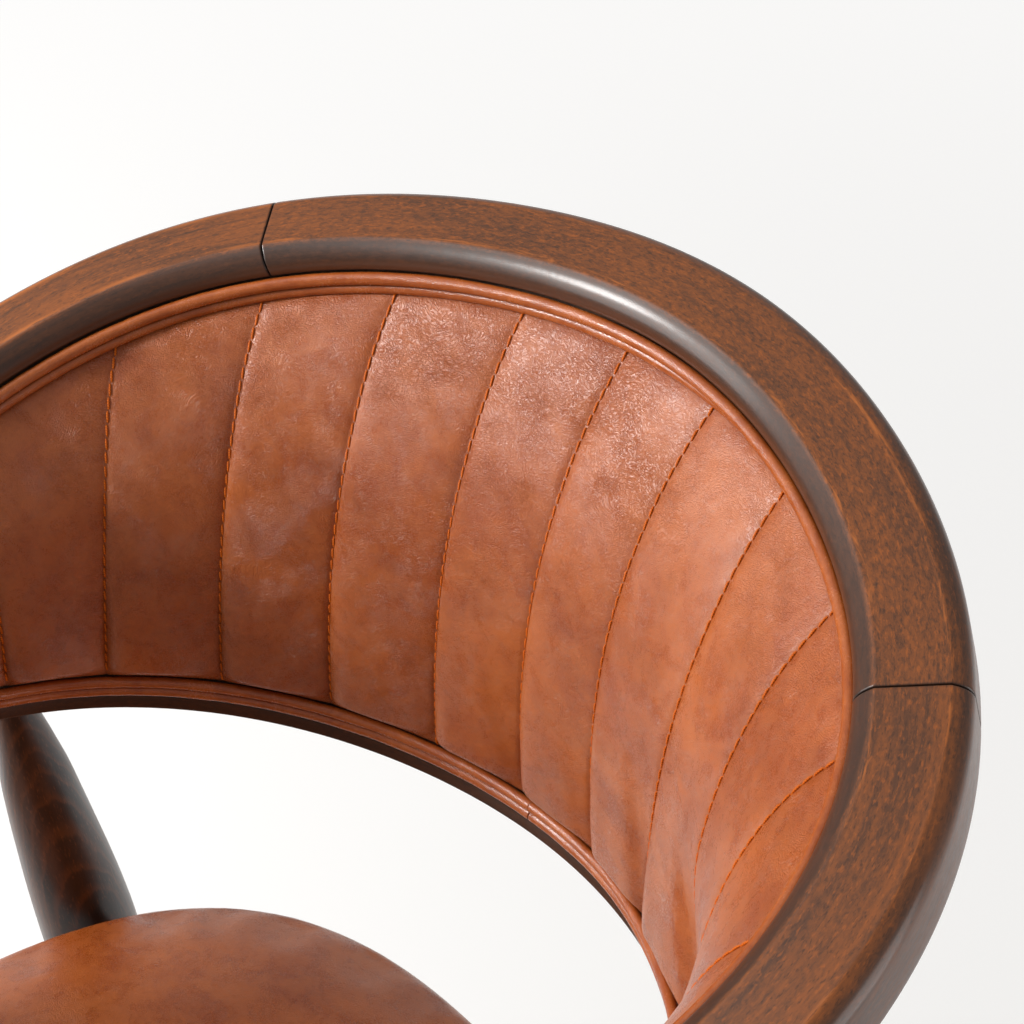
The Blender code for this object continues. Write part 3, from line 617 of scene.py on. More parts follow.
def cane_material(name, coord="grain"):
    g = Graph(name)
    p = g.attribute(coord)
    streak = g.noise(g.scaled(p, (0.03, 1.0, 1.0)), 1500.0, 3.0, 0.6)
    blot = g.noise(g.scaled(p, (0.3, 1.0, 1.0)), 60.0, 3.0, 0.6)
    base = g.blend(g.ramp(g.math("ADD", g.math("MULTIPLY", streak, 0.55), g.math("MULTIPLY", blot, 0.45)), 0.36, 0.64),
                   (0.46, 0.285, 0.115), (0.70, 0.500, 0.260))
    spot = g.ramp(g.noise(g.scaled(p, (0.4, 1.0, 1.0)), 210.0, 2.0, 0.6), 0.34, 0.24)
    base = g.blend(g.math("MULTIPLY", spot, 0.55), base, (0.24, 0.125, 0.045))
    g.put(g.bsdf.inputs["Base Color"], base)
    g.put(g.bsdf.inputs["Roughness"], g.ramp(streak, 0.3, 0.7, 0.36, 0.50))
    g.put(g.bsdf.inputs["Normal"], g.bump(streak, 0.30, 0.0002))
    return g.m


def lining_material(name):
    """Moulded ply stained dark on its outer face, so that it does not show through the cane."""
    g = Graph(name)
    p = g.place()
    veneer = g.noise(g.scaled(p, (1.0, 1.0, 0.12)), 420.0, 3.0, 0.6, 0.6)
    cloud = g.noise(p, 22.0, 3.0, 0.5)
    base = g.blend(g.ramp(g.math("ADD", g.math("MULTIPLY", veneer, 0.6), g.math("MULTIPLY", cloud, 0.4)), 0.36, 0.64),
                   (0.030, 0.0160, 0.0095), (0.085, 0.0420, 0.0210))
    g.put(g.bsdf.inputs["Base Color"], base)
    g.put(g.bsdf.inputs["Roughness"], g.ramp(veneer, 0.3, 0.7, 0.55, 0.7))
    g.put(g.bsdf.inputs["Normal"], g.bump(veneer, 0.3, 0.0003))
    return g.m


def steel_material(name):
    g = Graph(name)
    p = g.place()
    turned_lines = g.noise(g.scaled(p, (1.0, 1.0, 14.0)), 900.0, 2.0, 0.6)
    blot = g.noise(p, 700.0, 3.0, 0.6)
    g.put(g.bsdf.inputs["Base Color"], g.blend(g.ramp(blot, 0.35, 0.65), (0.50, 0.50, 0.47), (0.68, 0.67, 0.62)))
    g.bsdf.inputs["Metallic"].default_value = 1.0
    g.put(g.bsdf.inputs["Roughness"], g.ramp(turned_lines, 0.3, 0.7, 0.28, 0.46))
    g.put(g.bsdf.inputs["Normal"], g.bump(turned_lines, 0.2, 0.0001))
    return g.m


def glide_material(name):
    g = Graph(name)
    p = g.place()
    scuff = g.noise(g.scaled(p, (1.0, 1.0, 3.0)), 900.0, 4.0, 0.65)
    g.put(g.bsdf.inputs["Base Color"], g.blend(g.ramp(scuff, 0.45, 0.72), (0.030, 0.026, 0.023), (0.090, 0.080, 0.070)))
    g.put(g.bsdf.inputs["Roughness"], g.ramp(scuff, 0.3, 0.7, 0.45, 0.7))
    g.put(g.bsdf.inputs["Normal"], g.bump(scuff, 0.25, 0.0002))
    return g.m


WOOD_BACK = wood_material("stained_wood_back", seed=1.3)
WOOD_LEFT = wood_material("stained_wood_arm_left", seed=7.9, streak=0.75, rub_from=0.36)
WOOD_RIGHT = wood_material("stained_wood_arm_right", seed=13.1, streak=0.55)
# the lower rail is darkened all over (deep) as painted shade
WOOD_LOW = wood_material("stained_wood_lower_rail_painted_shade", rail=False, seed=4.7, streak=0.7, deep=0.80)
LEATHER_BACK = leather_material("leather_back", shade_and_wear_name="crease")
LEATHER_SEAT = leather_material("leather_seat", seed=3.1, shade_and_wear_name="crease", lift=0.90, relief=0.6)
LEATHER_WELT = leather_material("leather_welt", coord="grain", seed=5.2, stretch=(0.8, 1.0, 1.0), shade_and_wear_name="wear_and_shade", gloss=0.05, relief=0.38)
THREAD = thread_material("thread")
CANE = cane_material("cane")
LINING = lining_material("ply_stained")
STEEL = steel_material("zinc_plated_steel")
NYLON = glide_material("nylon")
BEECH = board_wood_material("beech", (0.60, 0.42, 0.26), (0.50, 0.32, 0.18), (0.34, 0.19, 0.10))
PLY = board_wood_material("plywood", (0.56, 0.41, 0.25), (0.44, 0.29, 0.16), (0.30, 0.18, 0.09), axis=(0.1, 1.0, 1.0))


# ------------------------------------------------------------ hoop rail
def hoop_outline(u):
    """Closed outline of the rail (outward, up): flat top, crisp but eased arrises, quick
    round-over inside, slower one outside, rebate below that closes near the arm ends."""
    w = smooth((abs(u) - FILL_FROM) / FILL_RUN)
    e = HOOP_IN
    lip = mix(HOOP_LIP, 0.0270, w)
    back = mix(HOOP_WALL, -0.0040, w)
    bottom = mix(HOOP_WALL, -0.0050, w)
    pts = [(-e + 0.0004, -lip), (-e, -lip + 0.0005)]
    pts += bezier((-e, -0.0108), (-e, -0.0046), (-0.0006, -0.00034), 10)
    pts += [(-0.0002, -0.00012), (0.0003, 0.0), (0.0010, 0.0)]
    pts += [(mix(0.0010, 0.0268, k / 6), 0.0) for k in range(1, 7)]
    pts += [(0.0274, 0.0), (0.0278, -0.00010)]
    pts += bezier((0.0284, -0.00036), (0.0348, -0.0034), (HOOP_OUT, -0.0086), 9)
    pts += [(HOOP_OUT, mix(-0.0086, -0.0265, k / 4)) for k in range(1, 4)]
    pts += bezier((HOOP_OUT, -0.0265), (HOOP_OUT, -HOOP_T), (0.0288, -HOOP_T), 6)
    pts += [(bottom + 0.0006, -HOOP_T), (bottom, -HOOP_T + 0.0006)]
    pts += [(mix(back, -e, w * 0.5), -lip - mix(0.0, 0.0015, w))]
    return pts


def along(u, dist):
    a, b = hoop(u, 0.012, 0), hoop(u + 0.5, 0.012, 0)
    return u + 0.5 * dist / (b - a).length


JOINT_SKEW = 19.0                              # degrees along the hoop per metre outward, at the left joint


def skew(u, o, h):
    cut = JOINT_SKEW * (max(o, 0.0) - 0.012) + 45.0 * max(0.0, -h) * smooth((0.003 - o) / 0.004)
    return cut * (1 - smooth(abs(u + JOINT_AT) / 8.0))


def hoop_ring(u, shrink=1.0, inset=0.0):
    mid = (HOOP_OUT - HOOP_IN) / 2
    hs = 1.0 - (1.0 - shrink) * 0.35
    ring, coords = [], []
    for o, h in hoop_outline(u):
        o2 = mid + (o - mid) * shrink
        h2 = -HOOP_T / 2 + (h + HOOP_T / 2) * hs
        if inset:
            wide, tall = (HOOP_OUT + HOOP_IN) / 2, HOOP_T / 2
            o2 = mid + (o2 - mid) * (1 - inset / wide)
            h2 = -tall + (h2 + tall) * (1 - inset / tall)
        ring.append(hoop(u + skew(u, o2, h2), o2, h2))
        coords.append((arc(u), o, h))
    return ring, coords


def hoop_piece(name, u0, u1, mat, nose=False):
    """u0 is always at a joint; the joint's edges are eased a little and hold dark wax."""
    s = 1.0 if u1 > u0 else -1.0
    stations = [(along(u0, s * d), 1.0, ins, dark) for d, ins, dark in
                ((0.0, 0.00050, 1.0), (0.00018, 0.00022, 0.85), (0.00045, 0.00006, 0.45), (0.0008, 0.0, 0.12),
                 (0.0013, 0.0, 0.0))]
    first = u0 + s * 0.8
    last = u1 - s * 0.8 if not nose else u1
    count = max(2, int(abs(last - first)) + 1)
    stations += [(u, 1.0, 0.0, 0.0) for u in between(first, last, count)]
    if nose:
        for k in (0.12, 0.25, 0.37, 0.48, 0.58, 0.67, 0.75, 0.82, 0.88, 0.925, 0.96, 0.985, 0.997):
            stations.append((along(u1, s * 0.0200 * k), math.sqrt(1 - k * k), 0.0, 0.0))
    else:
        stations += [(along(u1, -s * d), 1.0, ins, dark) for d, ins, dark in
                     ((0.0013, 0.0, 0.0), (0.0008, 0.0, 0.12), (0.00045, 0.00006, 0.45), (0.00018, 0.00022, 0.85),
                      (0.0, 0.00050, 1.0))]
    rings, coords, wear_and_shade = [], [], []
    for u, shrink, ins, dark in stations:
        r, c = hoop_ring(u, shrink, ins)
        rings.append(r)
        coords.append(c)
        wear_and_shade.append([dark] * len(r))
    o = loft(name, rings, coords, angle=50.0, extra=wear_and_shade)
    o.data.materials.append(mat)
    return piece(o, stands_for=(name.replace("wood_", ""),))


cut_in = along(JOINT_AT, JOINT_GAP / 2) - JOINT_AT
hoop_piece("wood_hoop_back", -(JOINT_AT - cut_in), JOINT_AT - cut_in, WOOD_BACK)
hoop_piece("wood_hoop_arm_right", JOINT_AT + cut_in, HOOP_END - 4.5, WOOD_RIGHT, True)
hoop_piece("wood_hoop_arm_left", -(JOINT_AT + cut_in), -(HOOP_END - 4.5), WOOD_LEFT, True)


# ------------------------------------------------------------ lower rail
def low_outline(u):
    w = smooth((abs(u) - FILL_FROM) / FILL_RUN)
    near, far = LOW_REBATE[0] + 0.0022 * midway(u), LOW_REBATE[1] + 0.0050 * midway(u)
    base = [(0.0, -0.0010), (0.0, LOW_STRIP + 0.0010), (near, LOW_STRIP + 0.0010), (far, 0.0222), (far + 0.0012, LOW_T),
            (0.0240, LOW_T), (LOW_W, 0.0)]
    full = [(0.0, 0.0), (0.0, 0.0130), (0.0006, 0.0190), (0.0024, 0.0222), (0.0050, LOW_T),
            (0.0225, LOW_T), (0.0225, 0.0)]
    pts = [(mix(a, c, w), mix(b, d, w)) for (a, b), (c, d) in zip(base, full)]
    soft = mix(0.0009, 0.0040, w)
    return rounded(pts, [mix(0.0016, 0.0040, w), soft, 0.0006, 0.0005, 0.0006, 0.0040, 0.0048], 5)


rings, coords = [], []
for u in between(-LOW_END, LOW_END, 289):
    e = smooth((abs(u) - LOW_MEET) / (LOW_END - LOW_MEET))
    ring, cc = [], []
    for o, h in low_outline(u):
        h2 = LOW_T - (LOW_T - h) * mix(1.0, 0.38, e)
        o2 = 0.0112 + (o - 0.0112) * mix(1.0, 0.72, e)
        ring.append(low(u, o2, h2))
        cc.append((arc(u) * 0.92, o, h))
    rings.append(ring)
    coords.append(cc)
lower = loft("wood_lower_rail", rings, coords, angle=50.0)
lower.data.materials.append(WOOD_LOW)
piece(lower, stands_for=("lower_rail",))


# ------------------------------------------------------------ channelled back pad
TAB_U = np.arange(-PAD_END - 1.0, PAD_END + 1.01, 0.25)


def table(f):
    return np.array([f(float(u)) for u in TAB_U])




def raised(u):
    return smooth((u - 36.0) / 44.0)


def outer_cord(u):
    """Far round to the right the cord sits higher, close to the round of the wood."""
    return hoop(u, WELT_SHOW[0] + 0.0006 * raised(u), WELT_SHOW[1] + 0.0034 * raised(u))


def inner_cord(u):
    """The inner cord slips in behind the outer one towards the right."""
    k = smooth((u + 4.0) / 34.0)
    return hoop(u, WELT_SHOW_IN[0] + 0.0026 * k, WELT_SHOW_IN[1] + 0.0006 * k + 0.0034 * raised(u))


TAB_A = table(lambda u: hoop(u, -0.0106 + 0.0010 * smooth((u + 4.0) / 34.0),
                             -0.0229 + 0.0028 * smooth((u + 4.0) / 34.0) + 0.0034 * raised(u)))


def to_right(u):
    """The cords and the edge of the padding drop over the rail towards the right."""
    return smooth((u - 6.0) / 44.0)


def outer_foot(u):
    return low(u, CORD_LOW[0] - 0.0014 * to_right(u), CORD_LOW[1] - 0.0052 * to_right(u))


def inner_foot(u):
    return low(u, CORD_LOW_IN[0] - 0.0020 * to_right(u), CORD_LOW_IN[1] - 0.0050 * to_right(u))


TAB_B = table(lambda u: low(u, -0.0048 + 0.0018 * to_right(u), 0.0218 - 0.0052 * to_right(u)))
TAB_IN = table(inward)
TAB_BT = table(lambda u: board_top(u, -3 * GAP))
TAB_BL = table(lambda u: board_low(u, -3 * GAP))
TAB_OUT = table(lambda u: panel(u)[3])
TAB_MID = (TAB_A + TAB_B) / 2
MID_S = np.concatenate([[0.0], np.cumsum(np.linalg.norm(np.diff(TAB_MID, axis=0), axis=1))])


def look_up(tab, u):
    if tab.ndim == 1:
        return np.interp(u, TAB_U, tab)
    return np.stack([np.interp(u, TAB_U, tab[:, i]) for i in range(3)], axis=-1)


def np_smooth(t):
    t = np.clip(t, 0.0, 1.0)
    return t * t * (3 - 2 * t)


def pad_base(u, t):
    a, b, inn = look_up(TAB_A, u), look_up(TAB_B, u), look_up(TAB_IN, u)
    e = 1.0 - np_smooth((np.abs(u) - 98.0) / 32.0)
    w = 4 * t * (1 - t) * (1 + PAD_SKEW * (2 * t - 1)) * e
    p = a + (b - a) * t[..., None]
    return p + (inn * PAD_PUFF + np.array([0.0, -PAD_LEAN, 0.0])) * w[..., None]


def pad_normal(u, t):
    du = pad_base(u + 0.2, t) - pad_base(u - 0.2, t)
    dt = pad_base(u, np.clip(t + 0.005, 0, 1)) - pad_base(u, np.clip(t - 0.005, 0, 1))
    n = np.cross(du, dt)
    n /= np.linalg.norm(n, axis=-1)[..., None]
    inn = look_up(TAB_IN, u)
    flip = np.sign((n * inn).sum(-1))[..., None]
    return n * flip


# where each seam meets the top and the bottom welt, in degrees along the hoop, and its bow
SEAMS = ((-118.0, -117.0, 0.3), (-100.5, -99.8, 0.4), (-82.3, -82.1, 0.45), (-63.9, -64.1, 0.45), (-46.1, -47.1, 0.44),
         (-26.8, -28.8, 0.4), (-8.7, -11.0, 0.0), (9.0, 6.9, -0.3), (27.3, 23.2, 2.9), (46.4, 48.6, -1.5),
         (65.2, 69.3, -5.1), (84.8, 81.6, -4.0), (102.0, 99.0, -3.0), (118.5, 117.0, -1.2))


SEAM_LEAN = 0.75


def seam_u(k, t):
    a, b, c = SEAMS[k]
    return a + (b - a) * t + c * 4 * t * (1 - t) + SEAM_LEAN * np.clip(1 - t / 0.20, 0, 1) ** 2


PAD_N = len(SEAMS)
NT, NQ = 120, 16
ti = np.arange(NT + 1) / NT
T = 0.55 * ti + 0.45 * (1 - np.cos(math.pi * ti)) / 2
qj = np.arange(NQ) / NQ
Q = 0.35 * qj + 0.65 * (1 - np.cos(math.pi * qj)) / 2
lines = [np.full(NT + 1, -PAD_END)] + [seam_u(k, T) for k in range(PAD_N)] + [np.full(NT + 1, PAD_END)]
cols, qs, which = [], [], []
for c in range(PAD_N + 1):
    a, b = lines[c], lines[c + 1]
    for q in Q:
        cols.append(a + (b - a) * q)
        qs.append(q)
        which.append(c)
cols.append(lines[-1])
qs.append(1.0)
which.append(PAD_N)
UU = np.stack(cols, axis=1)                   # (NT+1, columns)
TT = np.repeat(T[:, None], UU.shape[1], axis=1)
QQ = np.repeat(np.array(qs)[None, :], NT + 1, axis=0)
WW = np.repeat(np.array(which)[None, :], NT + 1, axis=0)
P = pad_base(UU, TT)
N = pad_normal(UU, TT)

# width of the channel at each point, and distance to the nearer seam
left_line = np.stack(lines, axis=1)[np.arange(NT + 1)[:, None], WW]
right_line = np.stack(lines, axis=1)[np.arange(NT + 1)[:, None], WW + 1]
PL, PR = pad_base(left_line, TT), pad_base(right_line, TT)
WIDE = np.linalg.norm(PR - PL, axis=-1)
DL, DR = np.linalg.norm(P - PL, axis=-1), np.linalg.norm(P - PR, axis=-1)
TALL = np.linalg.norm(look_up(TAB_B, UU) - look_up(TAB_A, UU), axis=-1)

side = np_smooth((np.abs(UU) - 5.0) / 50.0)
right_side = np_smooth((UU + 12.0) / 45.0)
foot = np_smooth((TT - 0.46 - 0.16 * right_side) / (0.42 - 0.08 * right_side))
tip_fade = 1.0 - 0.80 * np_smooth((np.abs(UU) - 96.0) / 28.0)
body = np_smooth((TT - 0.04) / 0.40)
crown = (0.0011 + 0.0005 * side * (1 - right_side) + 0.0016 * body * (1 - 0.8 * right_side) + foot * (0.0022 + 0.0006 * side)) * tip_fade
pinch = 0.0006 + 0.0002 * body + (0.0008 + 0.0008 * right_side) * np_smooth((TT - 0.66) / 0.30) * tip_fade
QS = QQ ** (1.0 - 0.30 * body * (1 - 0.7 * right_side))
near = np.minimum(DL, DR)
is_tip = (WW == 0) | (WW == PAD_N)
near = np.where(is_tip, np.where(WW == 0, DR, DL), near)
puff = pinch * (1 - np.exp(-near / 0.0021)) + crown * np.clip(4 * QS * (1 - QS), 0, 1) ** 0.70
# the channels narrow downwards, so the leather folds there: one soft fold in each, running
# into the foot of the next seam, with the strip beyond it lying lower
mid_u = (left_line + right_line) / 2
full = (0.30 + 0.70 * np_smooth((mid_u - 2.0) / 30.0)) * (1.0 - np_smooth((np.abs(mid_u) - 92.0) / 20.0))
full = full * (1.0 + 0.25 * np.sin(WW * 2.3 + 0.6)) * np.where(is_tip, 0.0, 1.0)
run = np_smooth((TT - 0.50) / 0.34)
fold_at = 0.54 + 0.40 * np_smooth((TT - 0.50) / 0.52) + 0.03 * np.sin(WW * 1.7)
puff = puff - 0.0022 * full * run * np.exp(-((QQ - fold_at) / 0.075) ** 2)
puff = puff - 0.0026 * full * run * np_smooth((QQ - fold_at + 0.10) / 0.30) * np_smooth((1.0 - QQ) / 0.10)
puff = puff + 0.0014 * full * run * np.exp(-((QQ - 0.17) / 0.10) ** 2)
# soft unevenness of the filling
rng = np.zeros_like(puff)
for i in range(puff.shape[0]):
    for j in range(puff.shape[1]):
        p = P[i, j]
        rng[i, j] = noise.noise(Vector((p[0] * 21 + WW[i, j] * 3.7, p[1] * 21, p[2] * 13))) * 0.0006 \
            + noise.noise(Vector((p[0] * 70, p[1] * 70 + WW[i, j] * 1.3, p[2] * 42))) * 0.00020
rng *= np.clip(near / 0.006, 0, 1)
puff = puff + rng
# the leather dives behind the welts at its edges
dtop, dbot = TT * TALL, (1 - TT) * TALL
tip_d = np.where(UU < 0, UU + PAD_END, PAD_END - UU) * 0.0042
puff = puff * (0.25 + 0.75 * np_smooth(dtop / 0.0065)) * (0.10 + 0.90 * np_smooth(dbot / 0.0110))
for d, r, deep in ((dtop, 0.0022, 0.0012), (dbot, 0.0030, 0.0022), (tip_d, 0.004, 0.0032)):
    x = np.clip(d / r, 0, 1)
    puff = puff - deep * (1 - np.sqrt(np.clip(1 - (1 - x) ** 2, 0, 1)))
puff = puff - 0.0096 * np_smooth((UU - 32.0) / 26.0) * np_smooth((TT - 0.50) / 0.30) * (1 - 0.55 * np_smooth((TT - 0.92) / 0.08))
FACE = P + N * puff[..., None]

rows = [FACE[i] for i in range(NT + 1)]
BT, BL = look_up(TAB_BT, UU[0]), look_up(TAB_BL, UU[-1])
dn = (look_up(TAB_BL, UU[0]) - look_up(TAB_BT, UU[0]))
dn /= np.linalg.norm(dn, axis=-1)[..., None]
lo = ((FACE[-1] - BL) * dn).sum(-1)[..., None]
hi = ((FACE[0] - BT) * dn).sum(-1)[..., None]
back_hi, back_lo = BT + dn * hi, BL + dn * lo
rows.append(FACE[-1] * 0.5 + back_lo * 0.5)
rows.append(back_lo)
rows.append((back_lo + back_hi) / 2)
rows.append(back_hi)
rows.append(FACE[0] * 0.5 + back_hi * 0.5)

bm = bmesh.new()
painted_shade_layer = bm.verts.layers.float.new("crease")
# painted shade: darker in the seam valleys and along the top and bottom edges where the leather dives behind the welts;
# the hidden back rows get full shade
painted_seam_shade = np.exp(-near / 0.0012) * (0.30 + 0.25 * foot) + 0.9 * np.exp(-dtop / 0.0016) + 0.9 * np.exp(-dbot / 0.0022)
painted_seam_shade = np.clip(painted_seam_shade, 0, 1)
grid = []
for k, row in enumerate(rows):
    line = []
    for j in range(row.shape[0]):
        v = bm.verts.new(row[j])
        v[painted_shade_layer] = float(painted_seam_shade[k, j]) if k <= NT else 1.0
        line.append(v)
    grid.append(line)
R = len(grid)
C = len(grid[0])
for k in range(R):
    a, b = grid[k], grid[(k + 1) % R]
    for j in range(C - 1):
        bm.faces.new((a[j], a[j + 1], b[j + 1], b[j]))
bm.faces.new([grid[k][0] for k in range(R)])
bm.faces.new([grid[k][-1] for k in reversed(range(R))])
pad = finish_mesh("back_pad_leather", bm, 75.0)
pad.data.materials.append(LEATHER_BACK)
piece(pad, stands_for=("back_pad",))


# ------------------------------------------------------------ stitches
def tube_rings(path, radius, sides=8, up=None, start=0.0):
    """Rings round a path, with distance along it kept for the twist."""
    rings, coords = [], []
    pts = [Vector(p) for p in path]
    s = start
    ref = Vector(up) if up is not None else None
    for i, p in enumerate(pts):
        t = (pts[min(i + 1, len(pts) - 1)] - pts[max(i - 1, 0)]).normalized()
        if ref is None:
            ref = t.orthogonal()
        ref = (ref - t * ref.dot(t)).normalized()
        side_v = t.cross(ref)
        r = radius[i] if isinstance(radius, (list, tuple)) else radius
        rings.append([p + (ref * math.cos(2 * math.pi * k / sides) + side_v * math.sin(2 * math.pi * k / sides)) * r
                      for k in range(sides)])
        coords.append([(s, k / sides, r) for k in range(sides)])
        if i + 1 < len(pts):
            s += (pts[i + 1] - p).length
    return rings, coords


def add_tube(bm, layer, rings, coords):
    loops = []
    for ring, cc in zip(rings, coords):
        row = []
        for p, c in zip(ring, cc):
            v = bm.verts.new(p)
            v[layer] = c
            row.append(v)
        loops.append(row)
    n = len(loops[0])
    for a, b in zip(loops, loops[1:]):
        for i in range(n):
            j = (i + 1) % n
            bm.faces.new((a[i], a[j], b[j], b[i]))
    bm.faces.new(list(reversed(loops[0])))
    bm.faces.new(loops[-1])


PITCH, STITCH = 0.0064, 0.0056
bm = bmesh.new()
layer = vector_layer(bm, "grain")
for k in range(PAD_N):
    j = (k + 1) * NQ                            # the seam's column on the face
    pts = [Vector(FACE[i, j]) for i in range(NT + 1)]
    nrm = [Vector(N[i, j]) for i in range(NT + 1)]
    ds = [0.0]
    for a, b in zip(pts, pts[1:]):
        ds.append(ds[-1] + (b - a).length)
    total = ds[-1]
    xs = np.array(ds)
    pa, na = np.array(pts), np.array(nrm)

    def on_seam(d):
        p = Vector([np.interp(d, xs, pa[:, c]) for c in range(3)])
        n = Vector([np.interp(d, xs, na[:, c]) for c in range(3)]).normalized()
        return p, n

    at = 0.0004 + (k * 0.0013) % 0.0021
    i = 0
    while at + STITCH < total - 0.0010:
        wob = noise.noise(Vector((k * 5.1, at * 90.0, 0.3)))
        length = STITCH * (1.0 + 0.07 * wob)
        path, up = [], None
        for m in range(9):
            f = m / 8
            p, n = on_seam(at + length * f)
            q, _ = on_seam(min(total, at + length * f + 0.0005))
            t = (q - p).normalized()
            cross = t.cross(n)
            lift = -0.0003 + 0.00085 * min(1.0, math.sin(math.pi * f) * 2.2)
            path.append(p + n * lift + cross * (0.00034 * (1 - 2 * f) + 0.00010 * wob))
            up = up or n
        r, c = tube_rings(path, [0.00038, 0.00049, 0.00054, 0.00057, 0.00058, 0.00057, 0.00054, 0.00049, 0.00038], 8, up,
                          at)
        add_tube(bm, layer, r, c)
        at += PITCH * (1.0 + 0.05 * noise.noise(Vector((k * 2.3, i * 0.7, 9.1))))
        i += 1
stitches = finish_mesh("back_stitching", bm, 60.0)
stitches.data.materials.append(THREAD)
piece(stitches)


# ------------------------------------------------------------ welts
def welt_path(top, bottom, tip, join_u):
    """Closed path round the pad that starts and ends at join_u on the bottom run."""
    def turn(s):
        pts = []
        for k in range(1, 12):
            a = math.pi * k / 12
            u = s * (PAD_END + tip * math.sin(a))
            pts.append(top(u).lerp(bottom(u), (1 - math.cos(a)) / 2))
        return pts
    fine = between(-PAD_END, PAD_END, 263)
    low_fine = [u for u in reversed(fine)]
    first = [bottom(u) for u in low_fine if u < join_u - 0.4]
    last = [bottom(u) for u in low_fine if u > join_u + 0.4]
    gap = 0.00010
    j = bottom(join_u)
    d = (bottom(join_u - 0.3) - bottom(join_u + 0.3)).normalized()
    start = [j + d * (gap + x) for x in (0.0, 0.00025, 0.0006, 0.0011)]
    end = [j - d * (gap + x) for x in (0.0011, 0.0006, 0.00025, 0.0)]
    return start + first + list(reversed(turn(-1))) + [top(u) for u in fine] + turn(1) + last + end


def make_welt(name, node, top, bottom, tip, join_u, radius, open_butt, beside):
    path = welt_path(top, bottom, tip, join_u)
    near_by = kdtree.KDTree(len(beside))
    for i, v in enumerate(beside):
        near_by.insert(v, i)
    near_by.balance()
    radii = [radius] * len(path)
    for i, r in enumerate((0.90, 0.97, 1.0, 1.0) if open_butt else (0.97, 0.99, 1.0, 1.0)):
        radii[i] = radius * r
        radii[-1 - i] = radius * r
    sides = 20
    rings, coords = tube_rings(path, radii, sides)
    # a cord is never quite even under its leather
    out, wear_and_shade = [], []
    for i, (ring, cc, p) in enumerate(zip(rings, coords, path)):
        row = []
        for k, v in enumerate(ring):
            s = cc[k][0]
            n = noise.noise(Vector((s * 260.0, k * 0.35, 1.7))) * 0.00010 + noise.noise(Vector((s * 60.0, k * 0.2, 4.4))) * 0.00012
            row.append(v + (v - Vector(p)).normalized() * n)
        out.append(row)
        dark = max(0.0, 1.0 - min(i, len(path) - 1 - i) / 1.6) * (1.0 if open_butt else 0.45)
        # painted shade: the stitched fold between the two cords is darkened
        wear_and_shade.append([max(dark, 0.95 * smooth((radius + 0.0014 - near_by.find(v)[2]) / 0.0015)) for v in row])
    cc = [[(c[0], math.cos(2 * math.pi * c[1]) * radius, math.sin(2 * math.pi * c[1]) * radius) for c in row] for row in coords]
    o = loft(name, out, cc, angle=60.0, extra=wear_and_shade)
    o.data.materials.append(LEATHER_WELT)
    return piece(o, stands_for=(node,))


# ------------------------------------------------------------ camera
CAM = Vector((0.6294855, -0.34046084, 1.34621884))
RIGHT = Vector((0.61368167, 0.7895453, 0.0036095))
UP = Vector((-0.46742427, 0.35961803, 0.80758246))
AHEAD = Vector((-0.63632489, 0.49728572, -0.58974363))
cam = bpy.data.cameras.new("camera")
cam.lens, cam.sensor_width, cam.sensor_fit = 83.82, 36.0, "HORIZONTAL"
cam.clip_start, cam.clip_end = 0.02, 60.0
cam_obj = bpy.data.objects.new("camera", cam)
bpy.context.scene.collection.objects.link(cam_obj)
cam_obj.matrix_world = Matrix((
    (RIGHT.x, UP.x, -AHEAD.x, CAM.x), (RIGHT.y, UP.y, -AHEAD.y, CAM.y), (RIGHT.z, UP.z, -AHEAD.z, CAM.z), (0, 0, 0, 1)))
bpy.context.scene.camera = cam_obj


def picture_x(p):
    d = p - CAM
    return 512 + 2384.342 * d.dot(RIGHT) / d.dot(AHEAD)


# the butt in each welt shows near the middle of the bottom run
best = min((abs(picture_x(low(u, *CORD_LOW)) - 532.0), u) for u in between(-60.0, 60.0, 1201))[1]
best_in = min((abs(picture_x(low(u, *CORD_LOW_IN)) - 531.0), u) for u in between(-60.0, 60.0, 1201))[1]
outer_line = welt_path(outer_cord, outer_foot, 3.6, best)
inner_line = welt_path(inner_cord, inner_foot, 2.2, best_in)
make_welt("welt_outer_leather", "back_welt_outer", outer_cord, outer_foot, 3.6, best, 0.00305, True, inner_line)
make_welt("welt_inner_leather", "back_welt_inner", inner_cord, inner_foot, 2.2, best_in, 0.0028, False, outer_line)


# ------------------------------------------------------------ woven cane on the outer face
CANE_PITCH, CANE_PAIR, CANE_W, CANE_THICK, CANE_WAVE = 0.0127, 0.00140, 0.0021, 0.00042, 0.00052
CANE_U = 127.0


def cane_top(u):
    return hoop(u, mix(0.0190, 0.0095, rise(u)), -HOOP_T - 0.0006)


def cane_bottom(u):
    return low(u, 0.0150, LOW_T + 0.0010)


TAB_CT, TAB_CB = table(cane_top), table(cane_bottom)
TAB_CM = (TAB_CT + TAB_CB) / 2
TAB_CDOWN = TAB_CB - TAB_CT
TAB_CH = np.linalg.norm(TAB_CDOWN, axis=1)
TAB_CDOWN = TAB_CDOWN / TAB_CH[:, None]
TAB_CS = np.concatenate([[0.0], np.cumsum(np.linalg.norm(np.diff(TAB_CM, axis=0), axis=1))])
TAB_CS -= np.interp(0.0, TAB_U, TAB_CS)
CANE_S = float(np.interp(CANE_U, TAB_U, TAB_CS))


def cane_point(s, y, z):
    """s along the middle of the panel, y down from it, z outward from its mid plane."""
    u = np.interp(s, TAB_CS, TAB_U)
    out = look_up(TAB_OUT, u)
    return look_up(TAB_CM, u) + look_up(TAB_CDOWN, u) * y[:, None] + out * (0.0008 + z)[:, None], out


def half_height(s):
    return np.interp(np.interp(s, TAB_CS, TAB_U), TAB_U, TAB_CH) / 2 - 0.0010


